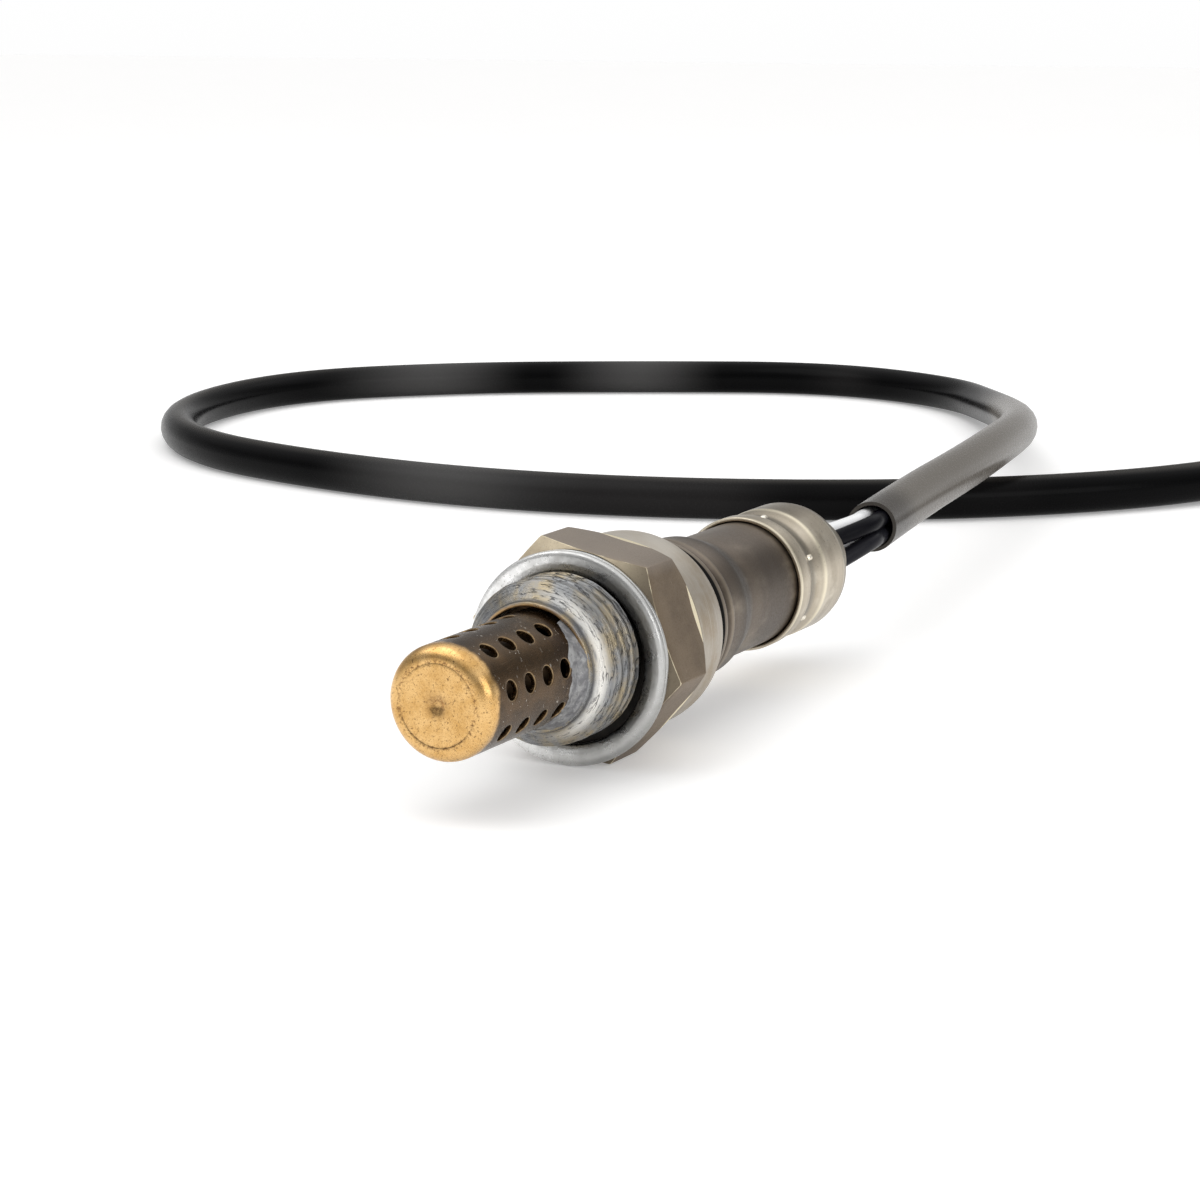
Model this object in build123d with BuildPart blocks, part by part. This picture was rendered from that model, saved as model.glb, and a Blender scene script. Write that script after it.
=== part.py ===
from build123d import *

# Heated exhaust-gas oxygen sensor: threaded shell, perforated tip, sleeved four-wire lead and connector.
#
# Frame: the sensor's axis is Y and runs from the perforated tip (-Y) to the lead (+Y), and +Z is up. The
# origin is on the axis, in the plane of the sealing ring's front edge, where the thread ends. The part
# lies as it is stored, its sealing ring and its lead on the floor. All lengths are millimetres.
import os
from math import cos, pi, radians, sin, tan

os.makedirs("parts", exist_ok=True)

# Clearances
slide_gap = 0.05  # on the radius, between pieces that slide together
seat_gap = 0.05  # along the axis, between pieces that seat on each other
edge_match = 0.01  # how closely a rounded edge is told from its neighbours
waste = 1.0  # how far a cut runs past the solid that it trims

# Thread and nose of the metal shell, M18 x 1.5
thread_radius = 8.9
thread_length = 5.0
run_out_depth = 0.3  # where the thread's last turn fades, and what the sealing ring hangs on
run_out_length = 1.0
nose_cone_length = 1.6
nose_radius = 6.9
nose_land = 0.73
mouth_radius = 6.44
mouth_depth = 2.6
bore_radius = 7.0

# Neck, hexagon and rolled collar
neck_radius = 8.1
hex_front = 1.8
hex_across_flats = 22.0
hex_roll = -18.9  # one corner's angle from +Z towards +X
hex_front_chamfer = 0.8
hex_side_length = 6.0
hex_rear_chamfer = 2.1
collar_radius = 10.9
collar_straight = 4.4
collar_roll_length = 3.2
collar_roll_bulge = 0.45
collar_roll_crest = 0.62  # the crest of the bulge, as a share of the roll's length
collar_end_radius = 9.4
collar_lip_radius = 8.45
collar_lip_length = 1.6
pocket_radius = 9.6

# Sealing ring, hanging on the thread's run-out
ring_play = 0.6  # how much larger on the radius the ring's bore is than the run-out
ring_width = 2.4
ring_front_gap = 0.06
ring_front_edge = 0.75
ring_rear_edge = 0.3
ring_seam_depth = 0.3
ring_seam_place = 1.08
ring_seam_width = 0.3

# Perforated outer protection tube
tube_radius = 5.96
tube_wall = 0.5
tube_reach = 26.4
tube_edge_radius = 1.6
dimple_radius = 1.2
dimple_depth = 0.45
hole_radius = 1.0
hole_rows = 8
holes_per_row = 4
hole_pitch = 3.73
first_hole = 4.66
hole_roll = -11.6  # one row's angle from +Z towards +X
flange_radius = 6.9
flange_thickness = 0.6

# Inner protection tube
inner_radius = 4.0
inner_wall = 0.4
inner_tip_gap = 2.0
inner_edge_radius = 1.2
inner_vent_radius = 1.0
inner_hole_radius = 0.8
inner_hole_count = 6
inner_hole_place = 14.5

# Flat sensor element, ceramics and powder that hold it
element_width = 4.2
element_thickness = 1.4
element_tip_bevel = 0.35
element_tip_gap = 2.4
element_rear_gap = 4.0
support_length = 6.0
powder_length = 5.0
press_ring_thickness = 1.2
press_ring_bore = 4.4

# Protective sleeve
sleeve_wall = 0.5
sleeve_flange_thickness = 0.6
collar_gap = 0.5
sleeve_ring_radius = 9.15
sleeve_ring_length = 2.5
sleeve_groove_radius = 8.4
sleeve_groove_length = 0.8
sleeve_bead_radius = 8.65
sleeve_bead_length = 2.0
sleeve_shoulder_radius = 8.2
sleeve_shoulder_length = 4.2
sleeve_taper_length = 3.0
sleeve_radius = 7.35
sleeve_straight = 14.6
sleeve_step_length = 1.4
sleeve_tail_radius = 6.8
sleeve_tail_length = 9.4
sleeve_vent_radius = 0.8
sleeve_vents = 4

# Rear cap and the vent membrane under it
cap_wall = 0.45
cap_start = 43.9
cap_rim_length = 2.5
cap_rim_gap = 0.15
cap_blend_length = 1.8
cap_crimp_length = 1.4
cap_crimp_gap = 0.1
cap_bulge_radius = 7.85
cap_bulge_length = 5.4
cap_valley_depth = 0.22
cap_valley_length = 1.2
cap_step_length = 1.2
cap_neck_radius = 5.6
cap_neck_length = 3.7
crimp_mark_length = 1.3
crimp_mark_width = 0.7
crimp_mark_corner = 0.23
crimp_mark_height = 0.4
crimp_marks = 6
membrane_gap = 0.06
membrane_length = 4.2

# Rubber grommet, ceramic holder, spacer and spring contacts
grommet_length = 7.0
grommet_set_back = 0.4
spacer_length = 4.6
holder_length = 13.0
holder_radius = 6.1
holder_cavity_height = 3.9
holder_cavity_corner = 0.3
spring_band_thickness = 0.45
spring_band_width = 8.0
spring_band_slot = 2.4
contact_width = 1.1
contact_thickness = 0.45
contact_place = 1.25
contact_set_back = 1.5
crimp_barrel_length = 3.0
crimp_barrel_wall = 0.25

# Lead wires
wire_diameter = 2.1
wire_spread = 1.62
bundle_spread = 1.08
wire_bend_radius = 10.5
wire_straight = 2.5
wire_depth = 8.0
wire_bend_lead = 3.0  # the last bend, this far before the sleeve's mouth

# Lead sleeve
lead_diameter = 6.4
lead_bore = 5.4
lead_mouth_depth = 10.0
bend_share = 0.45

# Connector at the lead's end
connector_width = 22.0
connector_height = 15.9
connector_length = 34.0
connector_corner = 2.4
connector_wall = 1.7
socket_depth = 13.0
cover_thickness = 2.0
wire_seal_length = 6.0
lock_thickness = 1.6
lock_border = 2.6
face_seal_depth = 1.6
face_seal_width = 1.2
boot_length = 14.0
boot_end_radius = 4.5
boot_root_radius = 5.6
boot_flange_radius = 6.6
boot_flange_thickness = 1.6
boot_rib_count = 3
boot_rib_height = 0.5
boot_rib_width = 1.2
boot_rib_pitch = 2.8
terminal_size = 1.2
terminal_spread_x = 7.0
terminal_spread_z = 5.0
terminal_reach = 8.0
terminal_tip = 0.4
terminal_barrel_radius = 1.45
terminal_barrel_length = 4.0
latch_width = 7.0
latch_length = 8.0
latch_height = 1.6
latch_set_back = 4.0

# Places that follow from the sizes
nose_front = -(thread_length + nose_cone_length + nose_land)
tube_flange_front = nose_front + mouth_depth
tube_flange_rear = tube_flange_front + flange_thickness
inner_flange_front = tube_flange_rear + seat_gap
inner_flange_rear = inner_flange_front + flange_thickness
support_start = inner_flange_rear + seat_gap
powder_start = support_start + support_length + seat_gap
bush_start = powder_start + powder_length + seat_gap
hex_corner_front = hex_front + hex_front_chamfer
hex_corner_rear = hex_corner_front + hex_side_length
hex_rear = hex_corner_rear + hex_rear_chamfer
hex_corner_radius = hex_across_flats / 2 / cos(radians(30))
collar_roll_start = hex_rear + collar_straight
collar_end = collar_roll_start + collar_roll_length
pocket_rear = collar_end - collar_lip_length
sleeve_start = pocket_rear - seat_gap - sleeve_flange_thickness
press_ring_start = sleeve_start - seat_gap - press_ring_thickness
pocket_front = press_ring_start - seat_gap
bush_length = pocket_front - bush_start
run_out_radius = thread_radius - run_out_depth
ring_inner_radius = run_out_radius + ring_play
ring_outer_radius = ring_inner_radius + ring_width
ring_drop = ring_play - slide_gap
floor_z = -(ring_outer_radius + ring_drop)
lead_rest = floor_z + lead_diameter / 2
inner_tip = -tube_reach + tube_wall + inner_tip_gap
element_start = inner_tip + inner_wall + element_tip_gap
sleeve_ring_start = collar_end + collar_gap
sleeve_skirt_radius = collar_lip_radius - slide_gap
groove_place = sleeve_ring_start + sleeve_ring_length + sleeve_groove_length
bead_place = groove_place + sleeve_bead_length
shoulder_end = bead_place + sleeve_shoulder_length
straight_start = shoulder_end + sleeve_taper_length
straight_end = straight_start + sleeve_straight
tail_start = straight_end + sleeve_step_length
tail_end = tail_start + sleeve_tail_length
cap_rim_radius = sleeve_radius + cap_rim_gap + cap_wall
cap_rim_end = cap_start + cap_rim_length
cap_crimp_radius = sleeve_tail_radius + cap_crimp_gap + cap_wall
crimp_start = cap_rim_end + cap_blend_length
crimp_end = crimp_start + cap_crimp_length
bulge_start = crimp_end + cap_blend_length
bulge_end = bulge_start + cap_bulge_length
valley_radius = cap_bulge_radius - cap_valley_depth
valley_end = bulge_end + cap_valley_length
neck_start = valley_end + cap_step_length
cap_end = neck_start + cap_neck_length
grommet_end = cap_end - grommet_set_back
grommet_shoulder = neck_start
grommet_start = grommet_shoulder - grommet_length
spacer_start = grommet_start - seat_gap - spacer_length
holder_start = spacer_start - seat_gap - holder_length
wire_start = grommet_start - crimp_barrel_length + seat_gap
element_length = spacer_start - element_rear_gap - element_start
tail_bore = sleeve_tail_radius - sleeve_wall
slot_width = element_width + 2 * slide_gap
slot_height = element_thickness + 2 * slide_gap


def across(place):
    """The plane square to the axis at this place, with X as its X and the lead's side as its normal."""
    return Plane(origin=(0, place, 0), x_dir=(1, 0, 0), z_dir=(0, 1, 0))


def outward(angle):
    """The plane through the axis whose normal points out at this angle from +Z towards +X."""
    return Plane(origin=(0, 0, 0), x_dir=(0, 1, 0), z_dir=(sin(radians(angle)), 0, cos(radians(angle))))


def circles(edges, radius, place):
    """The round edges about the axis that have this radius and this place on it."""
    found = [e for e in edges.filter_by(GeomType.CIRCLE) if abs(e.radius - radius) < edge_match]
    return [e for e in found if abs(e.arc_center.Y - place) < edge_match]


# Outer protection tube: deep-drawn, closed at the tip, with rows of round holes and a flange in the shell
tube_bore = tube_radius - tube_wall
with BuildPart() as outer_tube:
    with BuildSketch(Plane.XY):
        with BuildLine():
            Polyline(
                (0, -tube_reach),
                (tube_radius, -tube_reach),
                (tube_radius, tube_flange_front),
                (flange_radius, tube_flange_front),
                (flange_radius, tube_flange_rear),
                (tube_bore, tube_flange_rear),
                (tube_bore, -tube_reach + tube_wall),
                (0, -tube_reach + tube_wall),
                close=True,
            )
        make_face()
    revolve(axis=Axis.Y)
    fillet(circles(outer_tube.edges(), tube_radius, -tube_reach), tube_edge_radius)
    inside_edge = circles(outer_tube.edges(), tube_bore, -tube_reach + tube_wall)
    fillet(inside_edge, tube_edge_radius - tube_wall)
    with BuildSketch(Plane.XY):
        with BuildLine():
            Polyline(
                (0, -tube_reach + dimple_depth),
                (dimple_radius, -tube_reach),
                (0, -tube_reach),
                close=True,
            )
        make_face()
    revolve(axis=Axis.Y, mode=Mode.SUBTRACT)
    with BuildSketch(Plane.XY):
        with BuildLine():
            Polyline(
                (0, -tube_reach + dimple_depth + tube_wall),
                (dimple_radius, -tube_reach + tube_wall),
                (0, -tube_reach + tube_wall),
                close=True,
            )
        make_face()
    revolve(axis=Axis.Y)
    for row in range(hole_rows):
        with BuildSketch(outward(hole_roll + row * 360 / hole_rows)):
            for step in range(holes_per_row):
                with Locations((-tube_reach + first_hole + step * hole_pitch, 0)):
                    Circle(hole_radius)
        extrude(amount=tube_radius, mode=Mode.SUBTRACT)
outer_tube.part.label = "outer_protection_tube"
export_step(outer_tube.part, "parts/outer_protection_tube.step")

# Inner protection tube: open at its tip, with one ring of holes, clamped behind the outer tube's flange
inner_bore = inner_radius - inner_wall
with BuildPart() as inner_tube:
    with BuildSketch(Plane.XY):
        with BuildLine():
            Polyline(
                (inner_vent_radius, inner_tip),
                (inner_radius, inner_tip),
                (inner_radius, inner_flange_front),
                (flange_radius, inner_flange_front),
                (flange_radius, inner_flange_rear),
                (inner_bore, inner_flange_rear),
                (inner_bore, inner_tip + inner_wall),
                (inner_vent_radius, inner_tip + inner_wall),
                close=True,
            )
        make_face()
    revolve(axis=Axis.Y)
    fillet(circles(inner_tube.edges(), inner_radius, inner_tip), inner_edge_radius)
    inside_edge = circles(inner_tube.edges(), inner_bore, inner_tip + inner_wall)
    fillet(inside_edge, inner_edge_radius - inner_wall)
    for turn in range(inner_hole_count):
        with BuildSketch(outward(hole_roll + (turn + 0.5) * 360 / inner_hole_count)):
            with Locations((inner_tip + inner_hole_place, 0)):
                Circle(inner_hole_radius)
        extrude(amount=inner_radius, mode=Mode.SUBTRACT)
inner_tube.part.label = "inner_protection_tube"
export_step(inner_tube.part, "parts/inner_protection_tube.step")

# Metal shell: nose with its mouth, thread, relieved neck, hexagon, collar rolled over the sleeve's flange
roll_middle_radius = (collar_radius + collar_end_radius) / 2 + collar_roll_bulge
roll_middle = collar_roll_start + collar_roll_length * collar_roll_crest
with BuildPart() as metal_shell:
    with BuildSketch(Plane.XY):
        with BuildLine():
            Polyline(
                (collar_end_radius, collar_end),
                (collar_lip_radius, collar_end),
                (collar_lip_radius, pocket_rear),
                (pocket_radius, pocket_rear),
                (pocket_radius, pocket_front),
                (bore_radius, pocket_front),
                (bore_radius, tube_flange_front),
                (mouth_radius, tube_flange_front),
                (mouth_radius, nose_front),
                (nose_radius, nose_front),
                (nose_radius, nose_front + nose_land),
                (thread_radius, -thread_length),
                (thread_radius, 0),
                (run_out_radius, 0),
                (run_out_radius, run_out_length),
                (neck_radius, run_out_length),
                (neck_radius, hex_front),
                (collar_radius, hex_front),
                (collar_radius, collar_roll_start),
            )
            ThreePointArc(
                (collar_radius, collar_roll_start),
                (roll_middle_radius, roll_middle),
                (collar_end_radius, collar_end),
            )
        make_face()
    revolve(axis=Axis.Y)
    with BuildSketch(across(hex_front)):
        RegularPolygon(hex_across_flats / 2, 6, major_radius=False, rotation=hex_roll - 90)
        Circle(neck_radius, mode=Mode.SUBTRACT)
    extrude(amount=hex_rear - hex_front)
    chamfer_slope = hex_front_chamfer / (hex_corner_radius - hex_across_flats / 2)
    with BuildSketch(Plane.XY):
        with BuildLine():
            Polyline(
                (hex_across_flats / 2, hex_front),
                (hex_corner_radius, hex_corner_front),
                (hex_corner_radius + waste, hex_corner_front + chamfer_slope * waste),
                (hex_corner_radius + waste, hex_front),
                close=True,
            )
        make_face()
    revolve(axis=Axis.Y, mode=Mode.SUBTRACT)
    rear_slope = hex_rear_chamfer / (hex_corner_radius - collar_radius)
    with BuildSketch(Plane.XY):
        with BuildLine():
            Polyline(
                (collar_radius, hex_rear),
                (hex_corner_radius, hex_corner_rear),
                (hex_corner_radius + waste, hex_corner_rear - rear_slope * waste),
                (hex_corner_radius + waste, hex_rear),
                close=True,
            )
        make_face()
    revolve(axis=Axis.Y, mode=Mode.SUBTRACT)
metal_shell.part.label = "metal_shell"
export_step(metal_shell.part, "parts/metal_shell.step")

# Sealing ring: folded sheet with its seam around the outside, loose on the thread
ring_rear = hex_front - seat_gap
seam_middle = ring_front_gap + ring_seam_place
with BuildPart() as sealing_ring:
    with BuildSketch(Plane.XY.offset(-ring_drop)):
        with BuildLine():
            Polyline(
                (ring_inner_radius, ring_front_gap),
                (ring_outer_radius, ring_front_gap),
                (ring_outer_radius, seam_middle - ring_seam_width / 2),
                (ring_outer_radius - ring_seam_depth, seam_middle),
                (ring_outer_radius, seam_middle + ring_seam_width / 2),
                (ring_outer_radius, ring_rear),
                (ring_inner_radius, ring_rear),
                close=True,
            )
        make_face()
    revolve(axis=Axis(origin=(0, 0, -ring_drop), direction=(0, 1, 0)))
    fillet(circles(sealing_ring.edges(), ring_outer_radius, ring_front_gap), ring_front_edge)
    fillet(circles(sealing_ring.edges(), ring_inner_radius, ring_front_gap), ring_front_edge)
    fillet(circles(sealing_ring.edges(), ring_outer_radius, ring_rear), ring_rear_edge)
    fillet(circles(sealing_ring.edges(), ring_inner_radius, ring_rear), ring_rear_edge)
sealing_ring.part.label = "sealing_ring"
export_step(sealing_ring.part, "parts/sealing_ring.step")

# Sensor element: the flat ceramic strip with its tip bevelled
with BuildPart() as sensor_element:
    with BuildSketch(across(element_start)):
        Rectangle(element_width, element_thickness)
    extrude(amount=element_length)
    tip_edges = sensor_element.faces().sort_by(Axis.Y)[0].edges().filter_by(Axis.X)
    chamfer(tip_edges, element_tip_bevel)
sensor_element.part.label = "sensor_element"
export_step(sensor_element.part, "parts/sensor_element.step")

# Ceramic and powder packing around the element, all on one bore
for name, start, length in (
    ("support_ceramic", support_start, support_length),
    ("powder_seal", powder_start, powder_length),
    ("ceramic_bush", bush_start, bush_length),
):
    with BuildPart() as packing:
        with BuildSketch(across(start)):
            Circle(bore_radius - slide_gap)
            Rectangle(slot_width, slot_height, mode=Mode.SUBTRACT)
        extrude(amount=length)
    packing.part.label = name
    export_step(packing.part, "parts/" + name + ".step")

# Press ring between the bush and the sleeve's flange
with BuildPart() as press_ring:
    with BuildSketch(across(press_ring_start)):
        Circle(pocket_radius - slide_gap)
        Circle(press_ring_bore, mode=Mode.SUBTRACT)
    extrude(amount=press_ring_thickness)
press_ring.part.label = "press_ring"
export_step(press_ring.part, "parts/press_ring.step")

# Protective sleeve: rolled sheet, the same wall along a profile of ring, groove, bead, shoulder and tail
sleeve_outside = [
    (sleeve_skirt_radius, sleeve_start),
    (sleeve_skirt_radius, sleeve_ring_start),
    (sleeve_ring_radius, sleeve_ring_start + sleeve_wall / 2),
    (sleeve_ring_radius, sleeve_ring_start + sleeve_ring_length),
    (sleeve_groove_radius, groove_place),
    (sleeve_bead_radius, groove_place + sleeve_bead_length / 2),
    (sleeve_bead_radius, bead_place),
    (sleeve_shoulder_radius, bead_place + sleeve_wall),
    (sleeve_shoulder_radius, shoulder_end),
    (sleeve_radius, straight_start),
    (sleeve_radius, straight_end),
    (sleeve_tail_radius, tail_start),
    (sleeve_tail_radius, tail_end),
]
sleeve_inside = [(radius - sleeve_wall, place) for radius, place in reversed(sleeve_outside)]
with BuildPart() as protective_sleeve:
    with BuildSketch(Plane.XY):
        with BuildLine():
            Polyline(*sleeve_outside, *sleeve_inside, close=True)
        make_face()
    revolve(axis=Axis.Y)
    with BuildSketch(across(sleeve_start)):
        Circle(pocket_radius - slide_gap)
        Circle(sleeve_skirt_radius - sleeve_wall, mode=Mode.SUBTRACT)
    extrude(amount=sleeve_flange_thickness)
    vent_place = (bulge_start + bulge_end) / 2
    for turn in range(sleeve_vents):
        with BuildSketch(outward(turn * 360 / sleeve_vents)):
            with Locations((vent_place, 0)):
                Circle(sleeve_vent_radius)
        extrude(amount=sleeve_radius, mode=Mode.SUBTRACT)
protective_sleeve.part.label = "protective_sleeve"
export_step(protective_sleeve.part, "parts/protective_sleeve.step")

# Rear cap: rim over the sleeve, crimp, bulge over the vent membrane, neck crimped on the grommet
cap_outside = [
    (cap_rim_radius, cap_start),
    (cap_rim_radius, cap_rim_end),
    (cap_crimp_radius, crimp_start),
    (cap_crimp_radius, crimp_end),
    (cap_bulge_radius, bulge_start),
    (cap_bulge_radius, bulge_end),
    (valley_radius, bulge_end + cap_valley_length / 2),
    (valley_radius, valley_end),
    (cap_neck_radius, neck_start),
    (cap_neck_radius, cap_end),
]
cap_inside = [(radius - cap_wall, place) for radius, place in reversed(cap_outside)]
with BuildPart() as rear_cap:
    with BuildSketch(Plane.XY):
        with BuildLine():
            Polyline(*cap_outside, *cap_inside, close=True)
        make_face()
    revolve(axis=Axis.Y)
    mark_height = crimp_mark_height + cap_wall / 2
    for turn in range(crimp_marks):
        mark_plane = outward(hex_roll + turn * 360 / crimp_marks).offset(cap_crimp_radius - cap_wall / 2)
        with BuildSketch(mark_plane):
            with Locations(((crimp_start + crimp_end) / 2, 0)):
                RectangleRounded(crimp_mark_length, crimp_mark_width, crimp_mark_corner)
        extrude(amount=mark_height)
rear_cap.part.label = "rear_cap"
export_step(rear_cap.part, "parts/rear_cap.step")

# Vent membrane: a porous band around the sleeve's tail, under the cap's bulge
membrane_start = (bulge_start + bulge_end - membrane_length) / 2
with BuildPart() as vent_membrane:
    with BuildSketch(across(membrane_start)):
        Circle(cap_bulge_radius - cap_wall - membrane_gap)
        Circle(sleeve_tail_radius + membrane_gap, mode=Mode.SUBTRACT)
    extrude(amount=membrane_length)
vent_membrane.part.label = "vent_membrane"
export_step(vent_membrane.part, "parts/vent_membrane.step")

# Cable grommet: stepped rubber plug with four wire holes
wire_places = [(sx * wire_spread, sz * wire_spread) for sz in (1, -1) for sx in (-1, 1)]
with BuildPart() as cable_grommet:
    with BuildSketch(across(grommet_start)):
        Circle(tail_bore - slide_gap)
    extrude(amount=tail_end - grommet_start)
    with BuildSketch(across(grommet_start)):
        Circle(cap_neck_radius - cap_wall - slide_gap)
    extrude(amount=grommet_end - grommet_start)
    with BuildSketch(across(grommet_start)):
        with Locations(*[(x, -z) for x, z in wire_places]):
            Circle(wire_diameter / 2 + slide_gap)
    extrude(amount=grommet_end - grommet_start, mode=Mode.SUBTRACT)
cable_grommet.part.label = "cable_grommet"
export_step(cable_grommet.part, "parts/cable_grommet.step")

# Rear spacer: ceramic disc that keeps the four crimps apart
barrel_radius = wire_diameter / 2 + slide_gap + crimp_barrel_wall
with BuildPart() as rear_spacer:
    with BuildSketch(across(spacer_start)):
        Circle(holder_radius)
        with Locations(*[(x, -z) for x, z in wire_places]):
            Circle(barrel_radius + slide_gap, mode=Mode.SUBTRACT)
    extrude(amount=spacer_length)
rear_spacer.part.label = "rear_spacer"
export_step(rear_spacer.part, "parts/rear_spacer.step")

# Contact holder: ceramic body whose cavity takes the element's end and the four spring contacts
with BuildPart() as contact_holder:
    with BuildSketch(across(holder_start)):
        Circle(holder_radius)
        RectangleRounded(slot_width, holder_cavity_height, holder_cavity_corner, mode=Mode.SUBTRACT)
    extrude(amount=holder_length)
contact_holder.part.label = "contact_holder"
export_step(contact_holder.part, "parts/contact_holder.step")

# Spring band: a slotted sheet band that centres the holder in the sleeve
band_inner = holder_radius + slide_gap
band_outer = band_inner + spring_band_thickness
band_start = holder_start + (holder_length - spring_band_width) / 2
with BuildPart() as spring_band:
    with BuildSketch(across(band_start)):
        Circle(band_outer)
        Circle(band_inner, mode=Mode.SUBTRACT)
        with Locations((band_inner, 0)):
            Rectangle(band_inner, spring_band_slot, mode=Mode.SUBTRACT)
    extrude(amount=spring_band_width)
spring_band.part.label = "spring_band"
export_step(spring_band.part, "parts/spring_band.step")

# Spring contacts: strip on the element, stepped out to a barrel crimped on its wire
contact_height = element_thickness / 2 + slide_gap + contact_thickness / 2
contact_start = holder_start + contact_set_back
barrel_start = spacer_start + seat_gap
for index, (x, z) in enumerate(wire_places):
    up = 1 if z > 0 else -1
    side = 1 if x > 0 else -1
    strip_middle = contact_height - contact_thickness / 2
    with BuildPart() as contact:
        strip_plane = Plane(origin=(side * contact_place, 0, 0), x_dir=(0, 1, 0), z_dir=(1, 0, 0))
        with BuildSketch(strip_plane):
            with BuildLine():
                Polyline(
                    (contact_start, up * strip_middle),
                    (barrel_start, up * strip_middle),
                    (barrel_start, up * (strip_middle + contact_thickness)),
                    (contact_start, up * (strip_middle + contact_thickness)),
                    close=True,
                )
            make_face()
        extrude(amount=contact_width / 2, both=True)
        with BuildSketch(across(barrel_start)):
            with Locations((x, -z)):
                Circle(barrel_radius)
        extrude(amount=crimp_barrel_length)
        with BuildSketch(across(wire_start)):
            with Locations((x, -z)):
                Circle(wire_diameter / 2 + slide_gap)
        extrude(amount=crimp_barrel_length * 2, mode=Mode.SUBTRACT)
    contact.part.label = "spring_contact_" + str(index + 1)
    export_step(contact.part, "parts/spring_contact_" + str(index + 1) + ".step")

# Lead route: points chosen by hand from the sleeve's mouth, down to the floor, round its loop and along it
connector_z = floor_z + connector_height / 2
lead_points = [
    (3.4, 76, 2.2),
    (-1, 102, 2.0),
    (-5, 130, 1.6),
    (-10, 158, 1.0),
    (-17, 188, -0.6),
    (-30, 222, -4.0),
    (-46, 257, -7.6),
    (-66, 287, lead_rest),
    (-98, 297, lead_rest),
    (-132, 281, lead_rest),
    (-163, 263, lead_rest),
    (-188, 234, lead_rest),
    (-184, 191, lead_rest),
    (-159, 158, lead_rest),
    (-122, 144, lead_rest),
    (-84, 140, lead_rest),
    (-47, 149, lead_rest),
    (-14, 168, lead_rest),
    (11, 198, lead_rest),
    (26, 231, -7.2),
    (31, 264, connector_z),
    (31, 290, connector_z),
]
lead_stops = [Vector(*point) for point in lead_points]
lead_runs = [after - before for before, after in zip(lead_stops, lead_stops[1:])]
bend_radii = []
for before, after in zip(lead_runs, lead_runs[1:]):
    half_turn = radians(before.get_angle(after)) / 2
    bend_radii.append(bend_share * min(before.length, after.length) / tan(half_turn))
print("lead bend radii", [round(radius) for radius in bend_radii])
lead_start = lead_stops[0]
lead_way = lead_runs[0].normalized()
lead_plane = Plane(origin=lead_start, x_dir=(1, 0, 0), z_dir=lead_way)
with BuildLine() as lead_route:
    FilletPolyline(*lead_points, radius=bend_radii)
with BuildPart() as lead_sleeve:
    with BuildSketch(lead_plane):
        Circle(lead_diameter / 2)
    sweep(path=lead_route.wires()[0])
    with BuildSketch(lead_plane):
        Circle(lead_bore / 2)
    extrude(amount=lead_mouth_depth, mode=Mode.SUBTRACT)
lead_length = lead_route.wires()[0].length
mouth_volume = pi * lead_bore**2 / 4 * lead_mouth_depth
print("lead length", round(lead_length, 1), "mm, volume", round(lead_sleeve.part.volume))
print("section times length", round(pi * lead_diameter**2 / 4 * lead_length - mouth_volume))
lead_sleeve.part.label = "lead_sleeve"
export_step(lead_sleeve.part, "parts/lead_sleeve.step")

# Lead wires: out of the grommet, drawn together and into the sleeve's mouth
wire_names = ("lead_wire_white_a", "lead_wire_black", "lead_wire_white_b", "lead_wire_grey")
for name, (x, z) in zip(wire_names, wire_places):
    near = bundle_spread / wire_spread
    mouth_place = lead_plane.origin + lead_plane.x_dir * (x * near) - lead_plane.y_dir * (z * near)
    inside_place = mouth_place + lead_way * wire_depth
    before_place = mouth_place - lead_way * wire_bend_lead
    with BuildLine() as wire_route:
        FilletPolyline(
            (x, wire_start, z),
            (x, cap_end + wire_straight, z),
            tuple(before_place),
            tuple(inside_place),
            radius=wire_bend_radius,
        )
    with BuildPart() as wire:
        with BuildSketch(across(wire_start)):
            with Locations((x, -z)):
                Circle(wire_diameter / 2)
        sweep(path=wire_route.wires()[0])
    wire.part.label = name
    export_step(wire.part, "parts/" + name + ".step")

# Connector places, on the lead's last run
connector_x = lead_points[-1][0]
boot_end = lead_points[-1][1]
boot_start = boot_end - boot_length
housing_start = boot_end + seat_gap
housing_end = housing_start + connector_length
recess_depth = cover_thickness + wire_seal_length + 2 * seat_gap
recess_floor = housing_start + recess_depth
socket_floor = housing_end - socket_depth
socket_width = connector_width - 2 * connector_wall
socket_height = connector_height - 2 * connector_wall
recess_width = socket_width - connector_wall
recess_height = socket_height - connector_wall
terminal_places = [(sx * terminal_spread_x / 2, sz * terminal_spread_z / 2) for sz in (1, -1) for sx in (-1, 1)]


def on_connector(place):
    """The plane square to the connector at this place along Y, its origin on the connector's middle."""
    return Plane(origin=(connector_x, place, connector_z), x_dir=(1, 0, 0), z_dir=(0, 1, 0))


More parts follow.
